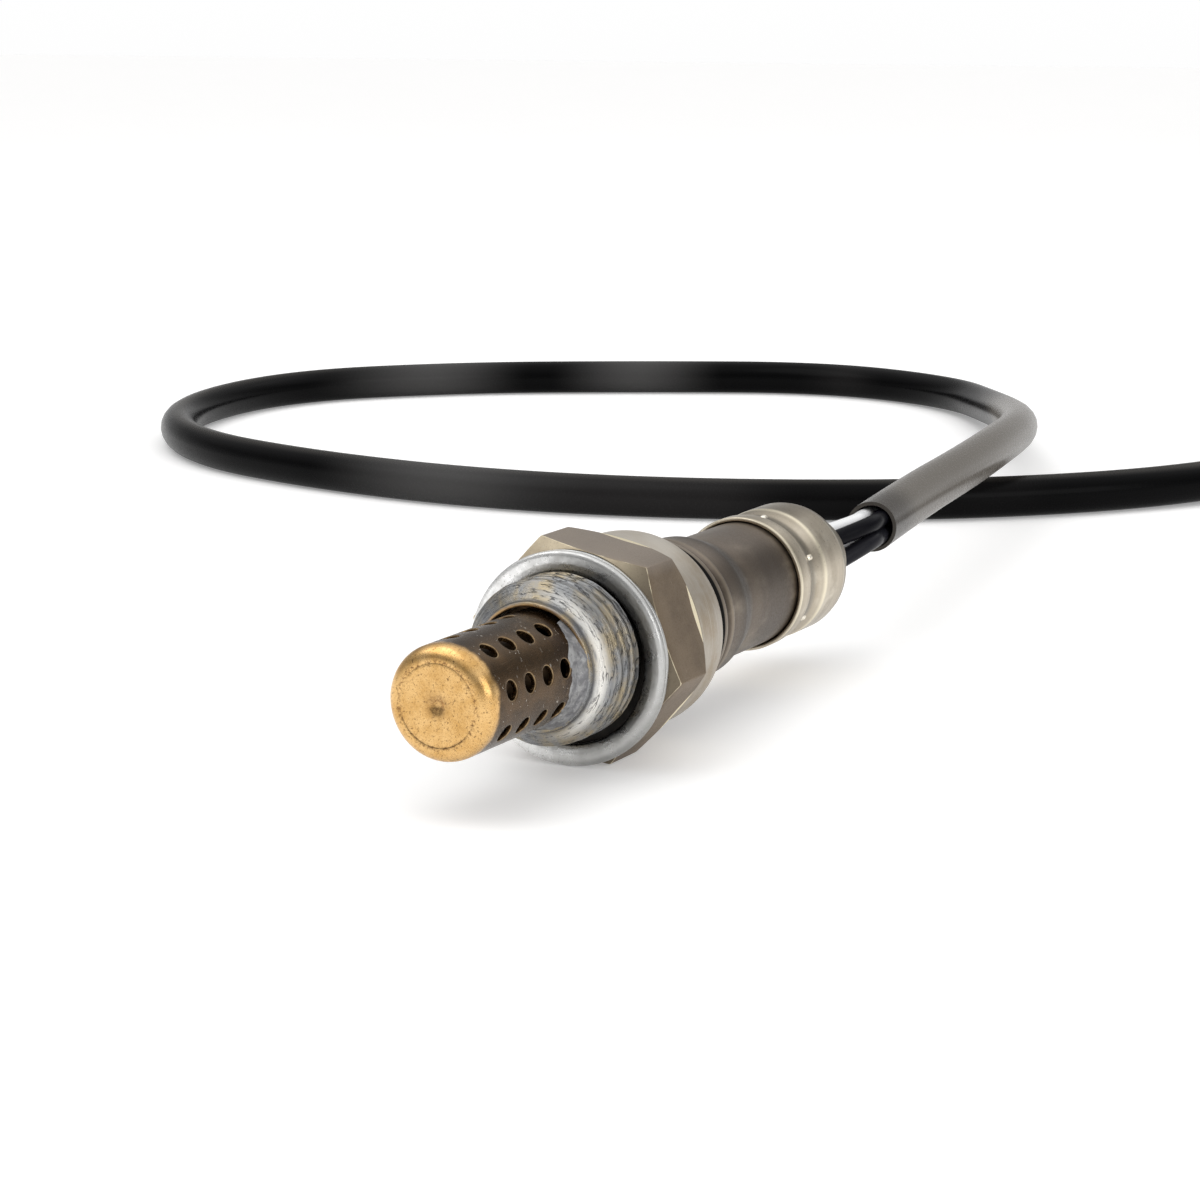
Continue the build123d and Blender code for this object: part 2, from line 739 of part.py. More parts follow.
# Connector boot: tapered rubber with ribs and a flange on the housing's rear
with BuildPart() as connector_boot:
    with BuildSketch(on_connector(boot_start)):
        Circle(boot_end_radius)
    with BuildSketch(on_connector(boot_end - boot_flange_thickness)):
        Circle(boot_root_radius)
    loft()
    with BuildSketch(on_connector(boot_end - boot_flange_thickness)):
        Circle(boot_flange_radius)
    extrude(amount=boot_flange_thickness)
    for rib in range(boot_rib_count):
        rib_place = boot_start + boot_rib_width + rib * boot_rib_pitch
        share = (rib_place - boot_start) / (boot_length - boot_flange_thickness)
        taper_radius = boot_end_radius + share * (boot_root_radius - boot_end_radius)
        with BuildSketch(on_connector(rib_place)):
            Circle(taper_radius + boot_rib_height)
        extrude(amount=boot_rib_width)
    with BuildSketch(on_connector(boot_start)):
        Circle(lead_diameter / 2 + slide_gap)
    extrude(amount=boot_length, mode=Mode.SUBTRACT)
connector_boot.part.label = "connector_boot"
export_step(connector_boot.part, "parts/connector_boot.step")

# Connector housing: rounded shroud with its socket, four terminal chambers, rear recess and latch
with BuildPart() as connector_housing:
    with BuildSketch(on_connector(housing_start)):
        RectangleRounded(connector_width, connector_height, connector_corner)
    extrude(amount=connector_length)
    with BuildSketch(on_connector(socket_floor)):
        RectangleRounded(socket_width, socket_height, connector_corner - connector_wall / 2)
    extrude(amount=socket_depth, mode=Mode.SUBTRACT)
    with BuildSketch(on_connector(housing_start)):
        RectangleRounded(recess_width, recess_height, connector_corner - connector_wall / 2)
    extrude(amount=recess_depth, mode=Mode.SUBTRACT)
    with BuildSketch(on_connector(recess_floor)):
        with Locations(*terminal_places):
            Circle(terminal_barrel_radius + slide_gap)
    extrude(amount=terminal_barrel_length + seat_gap, mode=Mode.SUBTRACT)
    with BuildSketch(on_connector(recess_floor)):
        with Locations(*terminal_places):
            Rectangle(terminal_size + 2 * slide_gap, terminal_size + 2 * slide_gap)
    extrude(amount=socket_floor - recess_floor, mode=Mode.SUBTRACT)
    latch_plane = Plane(origin=(connector_x, 0, 0), x_dir=(0, 1, 0), z_dir=(1, 0, 0))
    latch_foot = connector_z + connector_height / 2 - connector_wall / 2
    latch_top = connector_z + connector_height / 2 + latch_height
    latch_rear = housing_end - latch_set_back - latch_length
    with BuildSketch(latch_plane):
        with BuildLine():
            Polyline(
                (latch_rear, latch_foot),
                (latch_rear + latch_length, latch_foot),
                (latch_rear + latch_length, latch_top - latch_height),
                (latch_rear + latch_height, latch_top),
                (latch_rear, latch_top),
                close=True,
            )
        make_face()
    extrude(amount=latch_width / 2, both=True)
connector_housing.part.label = "connector_housing"
export_step(connector_housing.part, "parts/connector_housing.step")

# Wire seal and the cover that holds it in the housing's rear recess
tail_hole = wire_diameter / 2 + slide_gap
with BuildPart() as wire_seal:
    with BuildSketch(on_connector(recess_floor - seat_gap - wire_seal_length)):
        RectangleRounded(
            recess_width - 2 * slide_gap,
            recess_height - 2 * slide_gap,
            connector_corner - connector_wall / 2,
        )
        with Locations(*terminal_places):
            Circle(tail_hole, mode=Mode.SUBTRACT)
    extrude(amount=wire_seal_length)
wire_seal.part.label = "wire_seal"
export_step(wire_seal.part, "parts/wire_seal.step")
with BuildPart() as rear_cover:
    with BuildSketch(on_connector(housing_start)):
        RectangleRounded(
            recess_width - 2 * slide_gap,
            recess_height - 2 * slide_gap,
            connector_corner - connector_wall / 2,
        )
        with Locations(*terminal_places):
            Circle(tail_hole, mode=Mode.SUBTRACT)
    extrude(amount=cover_thickness)
rear_cover.part.label = "rear_cover"
export_step(rear_cover.part, "parts/rear_cover.step")

# Terminals: square pins with round crimp barrels, one solid each
with BuildPart() as terminals:
    with BuildSketch(on_connector(recess_floor)):
        with Locations(*terminal_places):
            Circle(terminal_barrel_radius)
    extrude(amount=terminal_barrel_length)
    with BuildSketch(on_connector(recess_floor)):
        with Locations(*terminal_places):
            Rectangle(terminal_size, terminal_size)
    extrude(amount=socket_floor - recess_floor + terminal_reach)
    chamfer(terminals.faces().group_by(Axis.Y)[-1].edges(), terminal_tip)
terminals.part.label = "terminal_pins"
export_step(terminals.part, "parts/terminal_pins.step")

# Terminal lock: the plate at the socket's floor that keeps the pins in line
lock_width = socket_width - 2 * lock_border
lock_height = socket_height - 2 * lock_border
with BuildPart() as terminal_lock:
    with BuildSketch(on_connector(socket_floor + seat_gap)):
        RectangleRounded(lock_width, lock_height, connector_corner / 2)
        with Locations(*terminal_places):
            Rectangle(terminal_size + 2 * slide_gap, terminal_size + 2 * slide_gap, mode=Mode.SUBTRACT)
    extrude(amount=lock_thickness)
terminal_lock.part.label = "terminal_lock"
export_step(terminal_lock.part, "parts/terminal_lock.step")

# Face seal: rubber ring around the lock, against the socket's wall
seal_width = socket_width - 2 * slide_gap
seal_height = socket_height - 2 * slide_gap
with BuildPart() as face_seal:
    with BuildSketch(on_connector(socket_floor + seat_gap)):
        RectangleRounded(seal_width, seal_height, connector_corner - connector_wall / 2)
        RectangleRounded(
            seal_width - 2 * face_seal_width,
            seal_height - 2 * face_seal_width,
            connector_corner / 4,
            mode=Mode.SUBTRACT,
        )
    extrude(amount=face_seal_depth)
face_seal.part.label = "face_seal"
export_step(face_seal.part, "parts/face_seal.step")
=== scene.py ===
"""An oxygen sensor with its looped lead on a white table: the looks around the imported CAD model.

The frame is the CAD model's: the sensor's axis is Y from the tip towards the lead, +Z is up, and the origin
is where the thread ends. Sizes and places are in millimetres, and the scene is in metres.
"""

from math import asin, atan2, cos, pi, radians, sin

import bmesh
import bpy
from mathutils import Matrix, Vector, noise


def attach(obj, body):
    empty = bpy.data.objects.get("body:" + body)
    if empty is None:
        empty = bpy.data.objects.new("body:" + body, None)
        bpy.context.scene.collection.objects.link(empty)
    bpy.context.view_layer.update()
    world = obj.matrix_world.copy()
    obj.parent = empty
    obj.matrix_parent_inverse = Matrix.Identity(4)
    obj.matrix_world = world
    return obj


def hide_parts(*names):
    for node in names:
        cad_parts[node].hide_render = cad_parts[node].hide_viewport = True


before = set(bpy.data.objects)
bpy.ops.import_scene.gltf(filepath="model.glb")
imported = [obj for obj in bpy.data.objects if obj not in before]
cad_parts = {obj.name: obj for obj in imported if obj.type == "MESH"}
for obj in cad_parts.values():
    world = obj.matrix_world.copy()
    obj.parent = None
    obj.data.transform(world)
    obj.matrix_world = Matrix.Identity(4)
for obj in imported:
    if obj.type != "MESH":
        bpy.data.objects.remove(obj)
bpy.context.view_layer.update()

MM = 0.001


def mm(*values):
    """Millimetres as a vector in metres."""
    return Vector(values) * MM


def add_object(name, data):
    """A new object of this data, in the scene."""
    thing = bpy.data.objects.new(name, data)
    bpy.context.scene.collection.objects.link(thing)
    return thing


# ---------------------------------------------------------------- sizes, as in the CAD model
FLOOR_Z = -12.15
TUBE_RADIUS = 5.96
TUBE_WALL = 0.5
TUBE_REACH = 26.4
TUBE_EDGE = 1.6
TUBE_REAR = -4.75
DIMPLE_RADIUS = 1.2
DIMPLE_DEPTH = 0.4
HOLE_RADIUS = 1.0
HOLE_ROWS = 8
HOLES_PER_ROW = 4
HOLE_PITCH = 3.73
FIRST_HOLE = 4.66
HOLE_ROLL = -11.6
HOLE_RIM = 0.1
HOLE_SIDES = 48
CELL_STEPS = HOLE_SIDES // 4
# The rings of points around a hole, from its cell's edge to its own and back inside, and the bands between.
OUTER_SHARES = (1, 0.7, 0.4, 0.18, 0)
INNER_SHARES = (0.4, 1)
FIRST_RIM_BAND = len(OUTER_SHARES) - 1
HOLE_WALL_BAND = FIRST_RIM_BAND + 2
HOLE_BANDS = HOLE_WALL_BAND + 1 + len(INNER_SHARES)
EDGE_STEPS = 12
ON_AXIS = 0.001

MOUTH_RADIUS = 6.44
NOSE_RADIUS = 6.9
NOSE_FRONT = -7.33
NOSE_LAND = 0.73
THREAD_RADIUS = 8.9
THREAD_FRONT = -5.0
THREAD_REAR = 0.0
RUN_OUT_RADIUS = 8.6
RUN_OUT_END = 1.0
THREAD_PITCH = 1.5
THREAD_DEPTH = 0.8
NECK_RADIUS = 8.1

HEX_FRONT = 1.8
HEX_FLATS = 22.0
HEX_ROLL = -18.9
HEX_CORNER_FRONT = 2.6
HEX_CORNER_REAR = 8.6
HEX_REAR = 10.7
HEX_EDGE = 29.7
HEX_CORNER = HEX_FLATS / 2 / cos(radians(30))
HEX_CORNER_CUT = 0.06
HEX_EASE = 0.08
HEX_STEP = 0.02
# The bands of faces that are the hexagon's edges, and the gleam that widens the rear one in mid-flat, where
# the edge look paints a gold highlight.
FRONT_EDGE_BAND = 5
GLEAM_BAND = 11
REAR_EDGE_BAND = 12
GLEAM = 0.80
GLEAM_TURN = 16.5
# The front bands of the hexagon inside the ring's reach, painted near-black as shade.
SHADE_BANDS = 2
SHADE_REACH = 1.2
COLLAR_RADIUS = 10.9
COLLAR_ROLL = 15.1
COLLAR_END = 18.3
COLLAR_END_RADIUS = 9.4
COLLAR_LIP = 8.45

RING_INNER = 9.2
RING_OUTER = 11.6
RING_DROP = 0.55
RING_FRONT = 0.06
RING_REAR = 1.75

LEAD_RADIUS = 3.2
LEAD_BORE = 2.7
WIRE_RADIUS = 1.05
LEAD_REST = FLOOR_Z + LEAD_RADIUS

# ---------------------------------------------------------------- camera
CAMERA_PLACE = mm(148.25, -278.13, 68.24)
CAMERA_FORWARD = Vector((-0.4510, 0.8712, -0.1942))
CAMERA_LENS = 92.16
CAMERA_SENSOR = 36


def make_camera():
    """The camera, where the photo was taken from."""
    camera = add_object("camera", bpy.data.cameras.new("camera"))
    camera.location = CAMERA_PLACE
    camera.rotation_euler = CAMERA_FORWARD.to_track_quat("-Z", "Y").to_euler()
    camera.data.lens = CAMERA_LENS
    camera.data.sensor_width = CAMERA_SENSOR
    camera.data.clip_start = 0.01
    camera.data.clip_end = 50
    bpy.context.scene.camera = camera


make_camera()


# ---------------------------------------------------------------- node helpers
# The colour sockets of a Mix node, which has others of the same name for numbers and vectors.
MIX_COLOURS = (6, 7)
MIX_RESULT = 2
# The values between which a fine noise changes most.
GRAIN_SPAN = (0.3, 0.75)


class Graph:
    """A node tree, with short calls to add and join its nodes."""

    def __init__(self, tree):
        self.tree = tree

    def new(self, kind, **sockets):
        """A new node with these inputs."""
        node = self.tree.nodes.new(kind)
        self.fill(node, **sockets)
        return node

    def fill(self, node, **sockets):
        """Set or join inputs of a node by their names, with _ for a space."""
        for name, source in sockets.items():
            self.link(source, node.inputs[name.replace("_", " ")])

    def link(self, source, target):
        """Join a socket to the target, or set the target to a plain value."""
        if isinstance(source, bpy.types.NodeSocket):
            self.tree.links.new(source, target)
        else:
            target.default_value = source


class Look(Graph):
    """One material, with calls for what the looks below share."""

    def __init__(self, name, **shader):
        self.material = bpy.data.materials.new(name)
        self.material.use_nodes = True
        super().__init__(self.material.node_tree)
        self.shader = self.tree.nodes["Principled BSDF"]
        self.fill(self.shader, **shader)
        self.place = self.new("ShaderNodeTexCoord").outputs["Object"]
        self.x, self.y, self.z = self.new("ShaderNodeSeparateXYZ", Vector=self.place).outputs

    def math(self, operation, first, second=0.0):
        """A Math node's result."""
        node = self.new("ShaderNodeMath")
        node.operation = operation
        for value, socket in zip((first, second), node.inputs):
            self.link(value, socket)
        return node.outputs[0]

    def times(self, first, second):
        return self.math("MULTIPLY", first, second)

    def plus(self, first, second):
        return self.math("ADD", first, second)

    def larger(self, first, second):
        return self.math("MAXIMUM", first, second)

    def noise_at(self, place, detail, roughness, distortion=0.0, seed=0.0):
        """Noise over a place, about 0.5 on average."""
        node = self.new("ShaderNodeTexNoise", Vector=place, Scale=1.0, Detail=detail)
        node.noise_dimensions = "4D"
        self.fill(node, Roughness=roughness, Distortion=distortion, W=seed)
        return node.outputs["Fac"]

    def noise(self, scale, detail, roughness, distortion=0.0, seed=0.0):
        """Noise of this many units per millimetre, in one number or for x, y and z."""
        node = self.new("ShaderNodeVectorMath")
        node.operation = "MULTIPLY"
        scales = scale if isinstance(scale, tuple) else (scale,) * 3
        self.link(self.place, node.inputs[0])
        self.link([units / MM for units in scales], node.inputs[1])
        return self.noise_at(node.outputs[0], detail, roughness, distortion, seed)

    def round_noise(self, around, along, detail, roughness, distortion=0.0, seed=0.0):
        """Noise on a drum of radius around, in units, that runs along the axis in units per millimetre."""
        angle = self.math("ARCTAN2", self.x, self.z)
        across = self.times(self.math("SINE", angle), around)
        up = self.times(self.math("COSINE", angle), around)
        node = self.new("ShaderNodeCombineXYZ", X=across, Y=self.times(self.y, along / MM), Z=up)
        return self.noise_at(node.outputs[0], detail, roughness, distortion, seed)

    def radius(self):
        """The distance from the axis, in millimetres."""
        squares = self.plus(self.times(self.x, self.x), self.times(self.z, self.z))
        return self.times(self.math("SQRT", squares), 1 / MM)

    def span(self, value, low, high, to_low=0.0, to_high=1.0):
        """A smooth step from to_low, where value is low, to to_high, where it is high."""
        node = self.new("ShaderNodeMapRange", Value=value, From_Min=low, From_Max=high)
        node.interpolation_type = "SMOOTHSTEP"
        self.fill(node, To_Min=to_low, To_Max=to_high)
        return node.outputs["Result"]

    def near(self, value, middle, half):
        """1 where value is at middle, falling to 0 at half away from it."""
        away = self.math("ABSOLUTE", self.math("SUBTRACT", value, middle))
        return self.span(away, 0.0, half, 1.0, 0.0)

    def step(self, axis, low, high, to_low=0.0, to_high=1.0):
        """A smooth step along x, y or z, between two places in millimetres."""
        return self.span(getattr(self, axis), low * MM, high * MM, to_low, to_high)

    def band(self, axis, middle, half):
        """1 at this place on x, y or z, falling to 0 at half away from it, in millimetres."""
        return self.near(getattr(self, axis), middle * MM, half * MM)

    def mix(self, share, first, second):
        """The first colour where share is 0 and the second where it is 1."""
        node = self.new("ShaderNodeMix", Factor=share)
        node.data_type = "RGBA"
        for value, index in zip((first, second), MIX_COLOURS):
            self.link((*value, 1.0) if isinstance(value, tuple) else value, node.inputs[index])
        return node.outputs[MIX_RESULT]

    def shade(self, colour, value, low, high, other, most=1.0):
        """The colour going over to the other one, or to most of it, as value goes from low to high."""
        return self.mix(self.span(value, low, high, 0.0, most), colour, other)

    def tint(self, colour, mask, share, other):
        """The colour with this share of the other one where mask is 1."""
        return self.mix(self.times(mask, share), colour, other)

    def rough(self, grain, low, high):
        """A roughness that goes from low to high with the grain."""
        return self.span(grain, *GRAIN_SPAN, low, high)

    def set(self, colour, roughness, height, depth):
        """Join these to the shader, with a bump this many millimetres deep, and give the material."""
        bump = self.new("ShaderNodeBump", Distance=depth * MM, Height=height)
        self.fill(self.shader, Base_Color=colour, Roughness=roughness, Normal=bump.outputs["Normal"])
        return self.material


# ---------------------------------------------------------------- materials
def tip_look():
    """The perforated tube: speckled gold at the tip, where it ran hottest, and bronze brown behind."""
    look = Look("tip", Metallic=0.95)
    radius = look.radius()
    blotch = look.noise((0.5, 0.35, 0.5), 5, 0.6)
    fine = look.noise(6, 4, 0.75, seed=2)
    speck = look.noise(3.4, 4, 0.75, seed=8)
    lines = look.round_noise(34, 0.4, 3, 0.6, seed=4)
    along = look.plus(look.y, look.span(blotch, 0.3, 0.7, -0.3 * MM, 0.3 * MM))
    behind = look.span(along, -24.6 * MM, -24 * MM)
    gold = look.shade((0.78, 0.50, 0.21), blotch, 0.35, 0.68, (0.62, 0.36, 0.12))
    gold = look.shade(gold, fine, 0.53, 0.62, (0.36, 0.19, 0.065), 0.6)
    gold = look.shade(gold, speck, 0.575, 0.63, (0.17, 0.09, 0.035), 0.85)
    ring = look.times(look.near(radius, 4.35, 0.42), look.span(speck, 0.46, 0.56))
    dimple = look.times(look.span(radius, 0.3, 2.0, 0.9, 0.0), look.span(speck, 0.38, 0.55, 0.25, 1.0))
    on_face = look.step("y", -26.1, -25.9, 1.0, 0.0)
    marks = look.times(look.larger(ring, dimple), on_face)
    gold = look.tint(gold, marks, 0.75, (0.20, 0.10, 0.04))
    gold = look.tint(gold, look.near(along, -24.3 * MM, 0.5 * MM), 0.7, (0.30, 0.18, 0.07))
    brown = look.shade((0.098, 0.056, 0.023), blotch, 0.35, 0.7, (0.058, 0.034, 0.014))
    brown = look.shade(brown, lines, 0.60, 0.72, (0.18, 0.12, 0.07), 0.5)
    brown = look.shade(brown, fine, 0.62, 0.74, (0.035, 0.022, 0.012), 0.6)
    stain = look.noise((0.34, 0.5, 0.34), 3, 0.6, distortion=0.8, seed=21)
    near_mouth = look.times(look.span(along, -13.5 * MM, -9.5 * MM), look.span(stain, 0.44, 0.56))
    brown = look.tint(brown, near_mouth, 0.85, (0.040, 0.022, 0.012))
    colour = look.mix(behind, gold, brown)
    nick = look.noise((1.3, 2.8, 1.3), 2, 0.4, distortion=1.2, seed=12)
    nicks = look.times(look.span(nick, 0.70, 0.72), behind)
    colour = look.mix(nicks, colour, (0.55, 0.50, 0.44))
    rough = look.span(fine, 0.3, 0.8, 0.20, 0.40)
    height = look.plus(fine, look.times(lines, 0.6))
    return look.set(colour, rough, height, 0.010)


def shell_look():
    """The nose and thread: grey metal under a worn smear of paste, ringed by thin dark lines and tan rubs,
    with a painted highlight on the nose's slope at the right, painted shade in the thread's roots and
    near-black painted shade on the neck inside the ring.
    """
    look = Look("shell_nose", Metallic=0.82)
    cloud = look.round_noise(2.6, 0.30, 5, 0.6)
    smear = look.round_noise(1.8, 2.2, 5, 0.62, distortion=0.4, seed=3)
    contour = look.round_noise(0.9, 1.25, 5, 0.58, distortion=0.25, seed=14)
    grain = look.noise(3.5, 5, 0.72, seed=5)
    fine_rings = look.round_noise(2.6, 6.5, 4, 0.65, seed=7)
    colour = look.shade((0.25, 0.255, 0.26), cloud, 0.40, 0.62, (0.36, 0.30, 0.20))
    colour = look.shade(colour, smear, 0.52, 0.68, (0.33, 0.325, 0.31), 0.8)
    # Painted highlight: the slope from the nose to the thread is painted near-white on the right side.
    cone_highlight = look.times(look.band("y", -6, 0.7), look.step("x", 0, 6))
    colour = look.tint(colour, cone_highlight, 0.85, (0.90, 0.88, 0.83))
    mouth = look.times(look.near(look.radius(), 6.55, 0.4), look.step("y", -7.1, -6.9, 1.0, 0.0))
    mouth = look.times(mouth, look.step("z", 1, 4))
    colour = look.tint(colour, mouth, 0.8, (0.55, 0.33, 0.12))
    colour = look.shade(colour, fine_rings, 0.54, 0.70, (0.25, 0.25, 0.26), 0.75)
    colour = look.shade(colour, grain, 0.58, 0.70, (0.22, 0.22, 0.23), 0.7)
    contours = look.math("FRACT", look.times(contour, 9.0))
    lines = look.near(contours, 0.5, 0.09)
    on_nose = look.step("y", -6.8, -5.8)
    lines = look.times(look.times(lines, on_nose), look.span(smear, 0.32, 0.44))
    colour = look.tint(colour, lines, 0.85, (0.07, 0.07, 0.08))
    # Painted shade: the thread's roots, below the crests, are painted darker.
    groove_shade = look.span(look.radius(), 8.40, 8.74, 1.0, 0.0)
    groove_shade = look.times(groove_shade, look.step("y", -4.8, -4.4))
    colour = look.tint(colour, groove_shade, 0.75, (0.09, 0.085, 0.08))
    # Painted shade: the neck behind the thread, seen only through the gap inside the ring, is painted
    # near-black.
    neck_shade = look.step("y", 0, 0.3)
    colour = look.mix(neck_shade, colour, (0.02, 0.018, 0.016))
    colour = look.tint(colour, look.band("y", -6.6, 0.28), 0.8, (0.06, 0.06, 0.065))
    rough = look.span(smear, 0.35, 0.75, 0.22, 0.44)
    height = look.plus(look.times(grain, 0.8), look.times(smear, 0.9))
    height = look.math("SUBTRACT", height, lines)
    return look.set(colour, rough, height, 0.07)


def paste_look():
    """Dried assembly paste: silver-grey and grainy, with a few dark pits."""
    look = Look("paste", Metallic=0.7)
    grain = look.noise(1.7, 6, 0.85, seed=5)
    streak = look.round_noise(5, 1.4, 4, 0.65, distortion=0.6, seed=9)
    colour = look.shade((0.19, 0.19, 0.20), streak, 0.40, 0.64, (0.36, 0.36, 0.36))
    colour = look.shade(colour, grain, 0.56, 0.66, (0.12, 0.115, 0.11), 0.9)
    colour = look.shade(colour, grain, 0.40, 0.32, (0.65, 0.65, 0.65))
    rough = look.rough(grain, 0.30, 0.55)
    height = look.plus(grain, look.times(streak, 0.8))
    return look.set(colour, rough, height, 0.10)


def ring_look():
    """The sealing ring: bright folded sheet, with fine turning lines and a few duller patches, painted shade
    on its right side and on its inner flank at the right, and a painted highlight around its outer rim.
    """
    look = Look("sealing_ring", Metallic=1.0)
    patch = look.noise(0.6, 4, 0.6)
    lines = look.noise((1.4, 8, 1.4), 4, 0.65, seed=2)
    grain = look.noise(4, 4, 0.7, seed=3)
    colour = look.shade((0.95, 0.95, 0.94), patch, 0.4, 0.7, (0.72, 0.715, 0.70))
    colour = look.shade(colour, grain, 0.56, 0.70, (0.28, 0.27, 0.25))
    # Painted shade: the ring is painted darker towards the right.
    right_shade = look.step("x", -8, 5, 0.0, 0.84)
    colour = look.mix(right_shade, colour, (0.30, 0.30, 0.29))
    # Painted shade on the ring's inner flank at the right, by the gap to the thread, with a few bright specks
    # in it.
    inner_slope_shade = look.times(look.span(look.radius(), 9.7, 10.8, 1.0, 0.0), look.step("x", 0, 6))
    inner_slope_shade = look.times(inner_slope_shade, look.span(patch, 0.30, 0.55, 0.95, 0.55))
    colour = look.mix(inner_slope_shade, colour, (0.10, 0.10, 0.105))
    colour = look.mix(look.times(inner_slope_shade, look.span(grain, 0.62, 0.66)), colour, (0.75, 0.75, 0.74))
    # Painted highlight: a pale line around the ring's outer rim.
    colour = look.tint(colour, look.near(look.radius(), 11.2, 0.6), 0.35, (0.85, 0.85, 0.84))
    rough = look.span(patch, 0.35, 0.7, 0.24, 0.42)
    return look.set(colour, rough, look.plus(lines, grain), 0.03)


def hex_look(name, light, dark, pit, rub_colour, shade_share=0.0):
    """The hexagon's plating gone matt, with fine pitting and a rub of lighter metal.

    Plain it has a painted highlight on top, and with a share of painted shade it darkens towards the right
    and bottom instead.
    """
    look = Look(name, Metallic=0.80)
    cloud = look.noise((0.22, 0.16, 0.22), 5, 0.6)
    grain = look.noise(5, 5, 0.75, seed=2)
    rub = look.noise((1.0, 2.8, 1.0), 4, 0.6, seed=6)
    colour = look.shade(light, cloud, 0.36, 0.66, dark)
    colour = look.shade(colour, grain, 0.55, 0.78, pit)
    colour = look.shade(colour, rub, 0.62, 0.78, rub_colour, 0.7)
    if not shade_share:
        # Painted highlight: the flats are painted lighter on top.
        colour = look.mix(look.step("z", 8, 10.5, 0.0, 0.6), colour, (0.40, 0.35, 0.305))
    else:
        # Painted shade: the chamfer is painted darker towards the right and bottom.
        side = look.math("SUBTRACT", look.x, look.times(look.z, 0.35))
        colour = look.mix(look.span(side, -2 * MM, 7 * MM, 0.0, shade_share), colour, (0.085, 0.066, 0.046))
    return look.set(colour, look.rough(grain, 0.40, 0.60), grain, 0.02)


def edge_look():
    """The hexagon's edges: worn bright in patches, like the flats between them, and painted gold highlights
    at the rear edge in mid-flat.
    """
    look = Look("edge", Metallic=0.80)
    patch = look.noise(0.35, 3, 0.6)
    grain = look.noise(5, 5, 0.75, seed=2)
    worn = look.span(patch, 0.40, 0.56)
    # Painted highlight: behind the flats' middle, the rear edge is painted bright gold.
    behind = look.step("y", 8.5, 9.2)
    colour = look.mix(look.larger(worn, behind), (0.30, 0.24, 0.165), (0.93, 0.83, 0.60))
    colour = look.shade(colour, grain, 0.56, 0.75, (0.42, 0.34, 0.21), 0.5)
    return look.set(colour, look.rough(grain, 0.34, 0.50), grain, 0.02)


def collar_look():
    """The rolled collar: grey steel with a tan tint towards the hexagon and turning lines around it, and a
    painted highlight on top.
    """
    look = Look("collar", Metallic=0.88)
    lines = look.noise((0.15, 6, 0.15), 4, 0.6)
    cloud = look.round_noise(2.2, 0.25, 4, 0.6, seed=2)
    grain = look.noise(5, 4, 0.7, seed=4)
    colour = look.shade((0.43, 0.39, 0.335), cloud, 0.38, 0.64, (0.36, 0.30, 0.225))
    colour = look.shade(colour, lines, 0.5, 0.8, (0.52, 0.48, 0.42))
    # Painted highlight: the collar is painted lighter on top.
    colour = look.mix(look.step("z", 7, 10.5, 0.0, 0.5), colour, (0.72, 0.68, 0.61))
    return look.set(colour, look.rough(grain, 0.42, 0.56), look.plus(grain, lines), 0.02)


def sleeve_look():
    """The protective sleeve: brown heat tint in soft bands, with painted highlights on its top and its ribs,
    painted shade in its hollows and at its taper, and near-black painted shade behind the collar's lip.
    """
    look = Look("sleeve", Metallic=0.85)
    band = look.noise((0.03, 0.22, 0.03), 3, 0.5)
    cloud = look.round_noise(2.0, 0.12, 5, 0.6, seed=2)
    grain = look.noise(4, 4, 0.7, seed=4)
    colour = look.shade((0.125, 0.097, 0.071), band, 0.4, 0.65, (0.082, 0.063, 0.047))
    colour = look.shade(colour, cloud, 0.48, 0.74, (0.23, 0.19, 0.145))
    colour = look.tint(colour, look.band("y", 37.5, 4.5), 0.6, (0.075, 0.058, 0.044))
    # Painted highlight: the sleeve is painted lighter on top.
    colour = look.mix(look.step("z", 4.5, 8, 0.0, 0.5), colour, (0.30, 0.25, 0.205))
    # Painted highlights on the sleeve's two ribs.
    rib_highlights = look.larger(look.band("y", 20.9, 0.7), look.band("y", 23.6, 0.7))
    colour = look.tint(colour, rib_highlights, 0.55, (0.33, 0.27, 0.20))
    # Painted shade in the hollow between the ribs and where the sleeve tapers.
    groove_and_taper_shade = look.larger(look.band("y", 22.2, 0.8), look.band("y", 29, 3.6))
    colour = look.tint(colour, groove_and_taper_shade, 0.8, (0.045, 0.037, 0.030))
    # Painted shade: near-black where the sleeve runs under the collar's lip, with a high roughness there.
    joint_shade = look.step("y", 20.3, 20.5, 1.0, 0.0)
    colour = look.mix(joint_shade, colour, (0.004, 0.0035, 0.003))
    rough = look.larger(look.rough(grain, 0.34, 0.50), look.times(joint_shade, 0.9))
    return look.set(colour, rough, grain, 0.012)


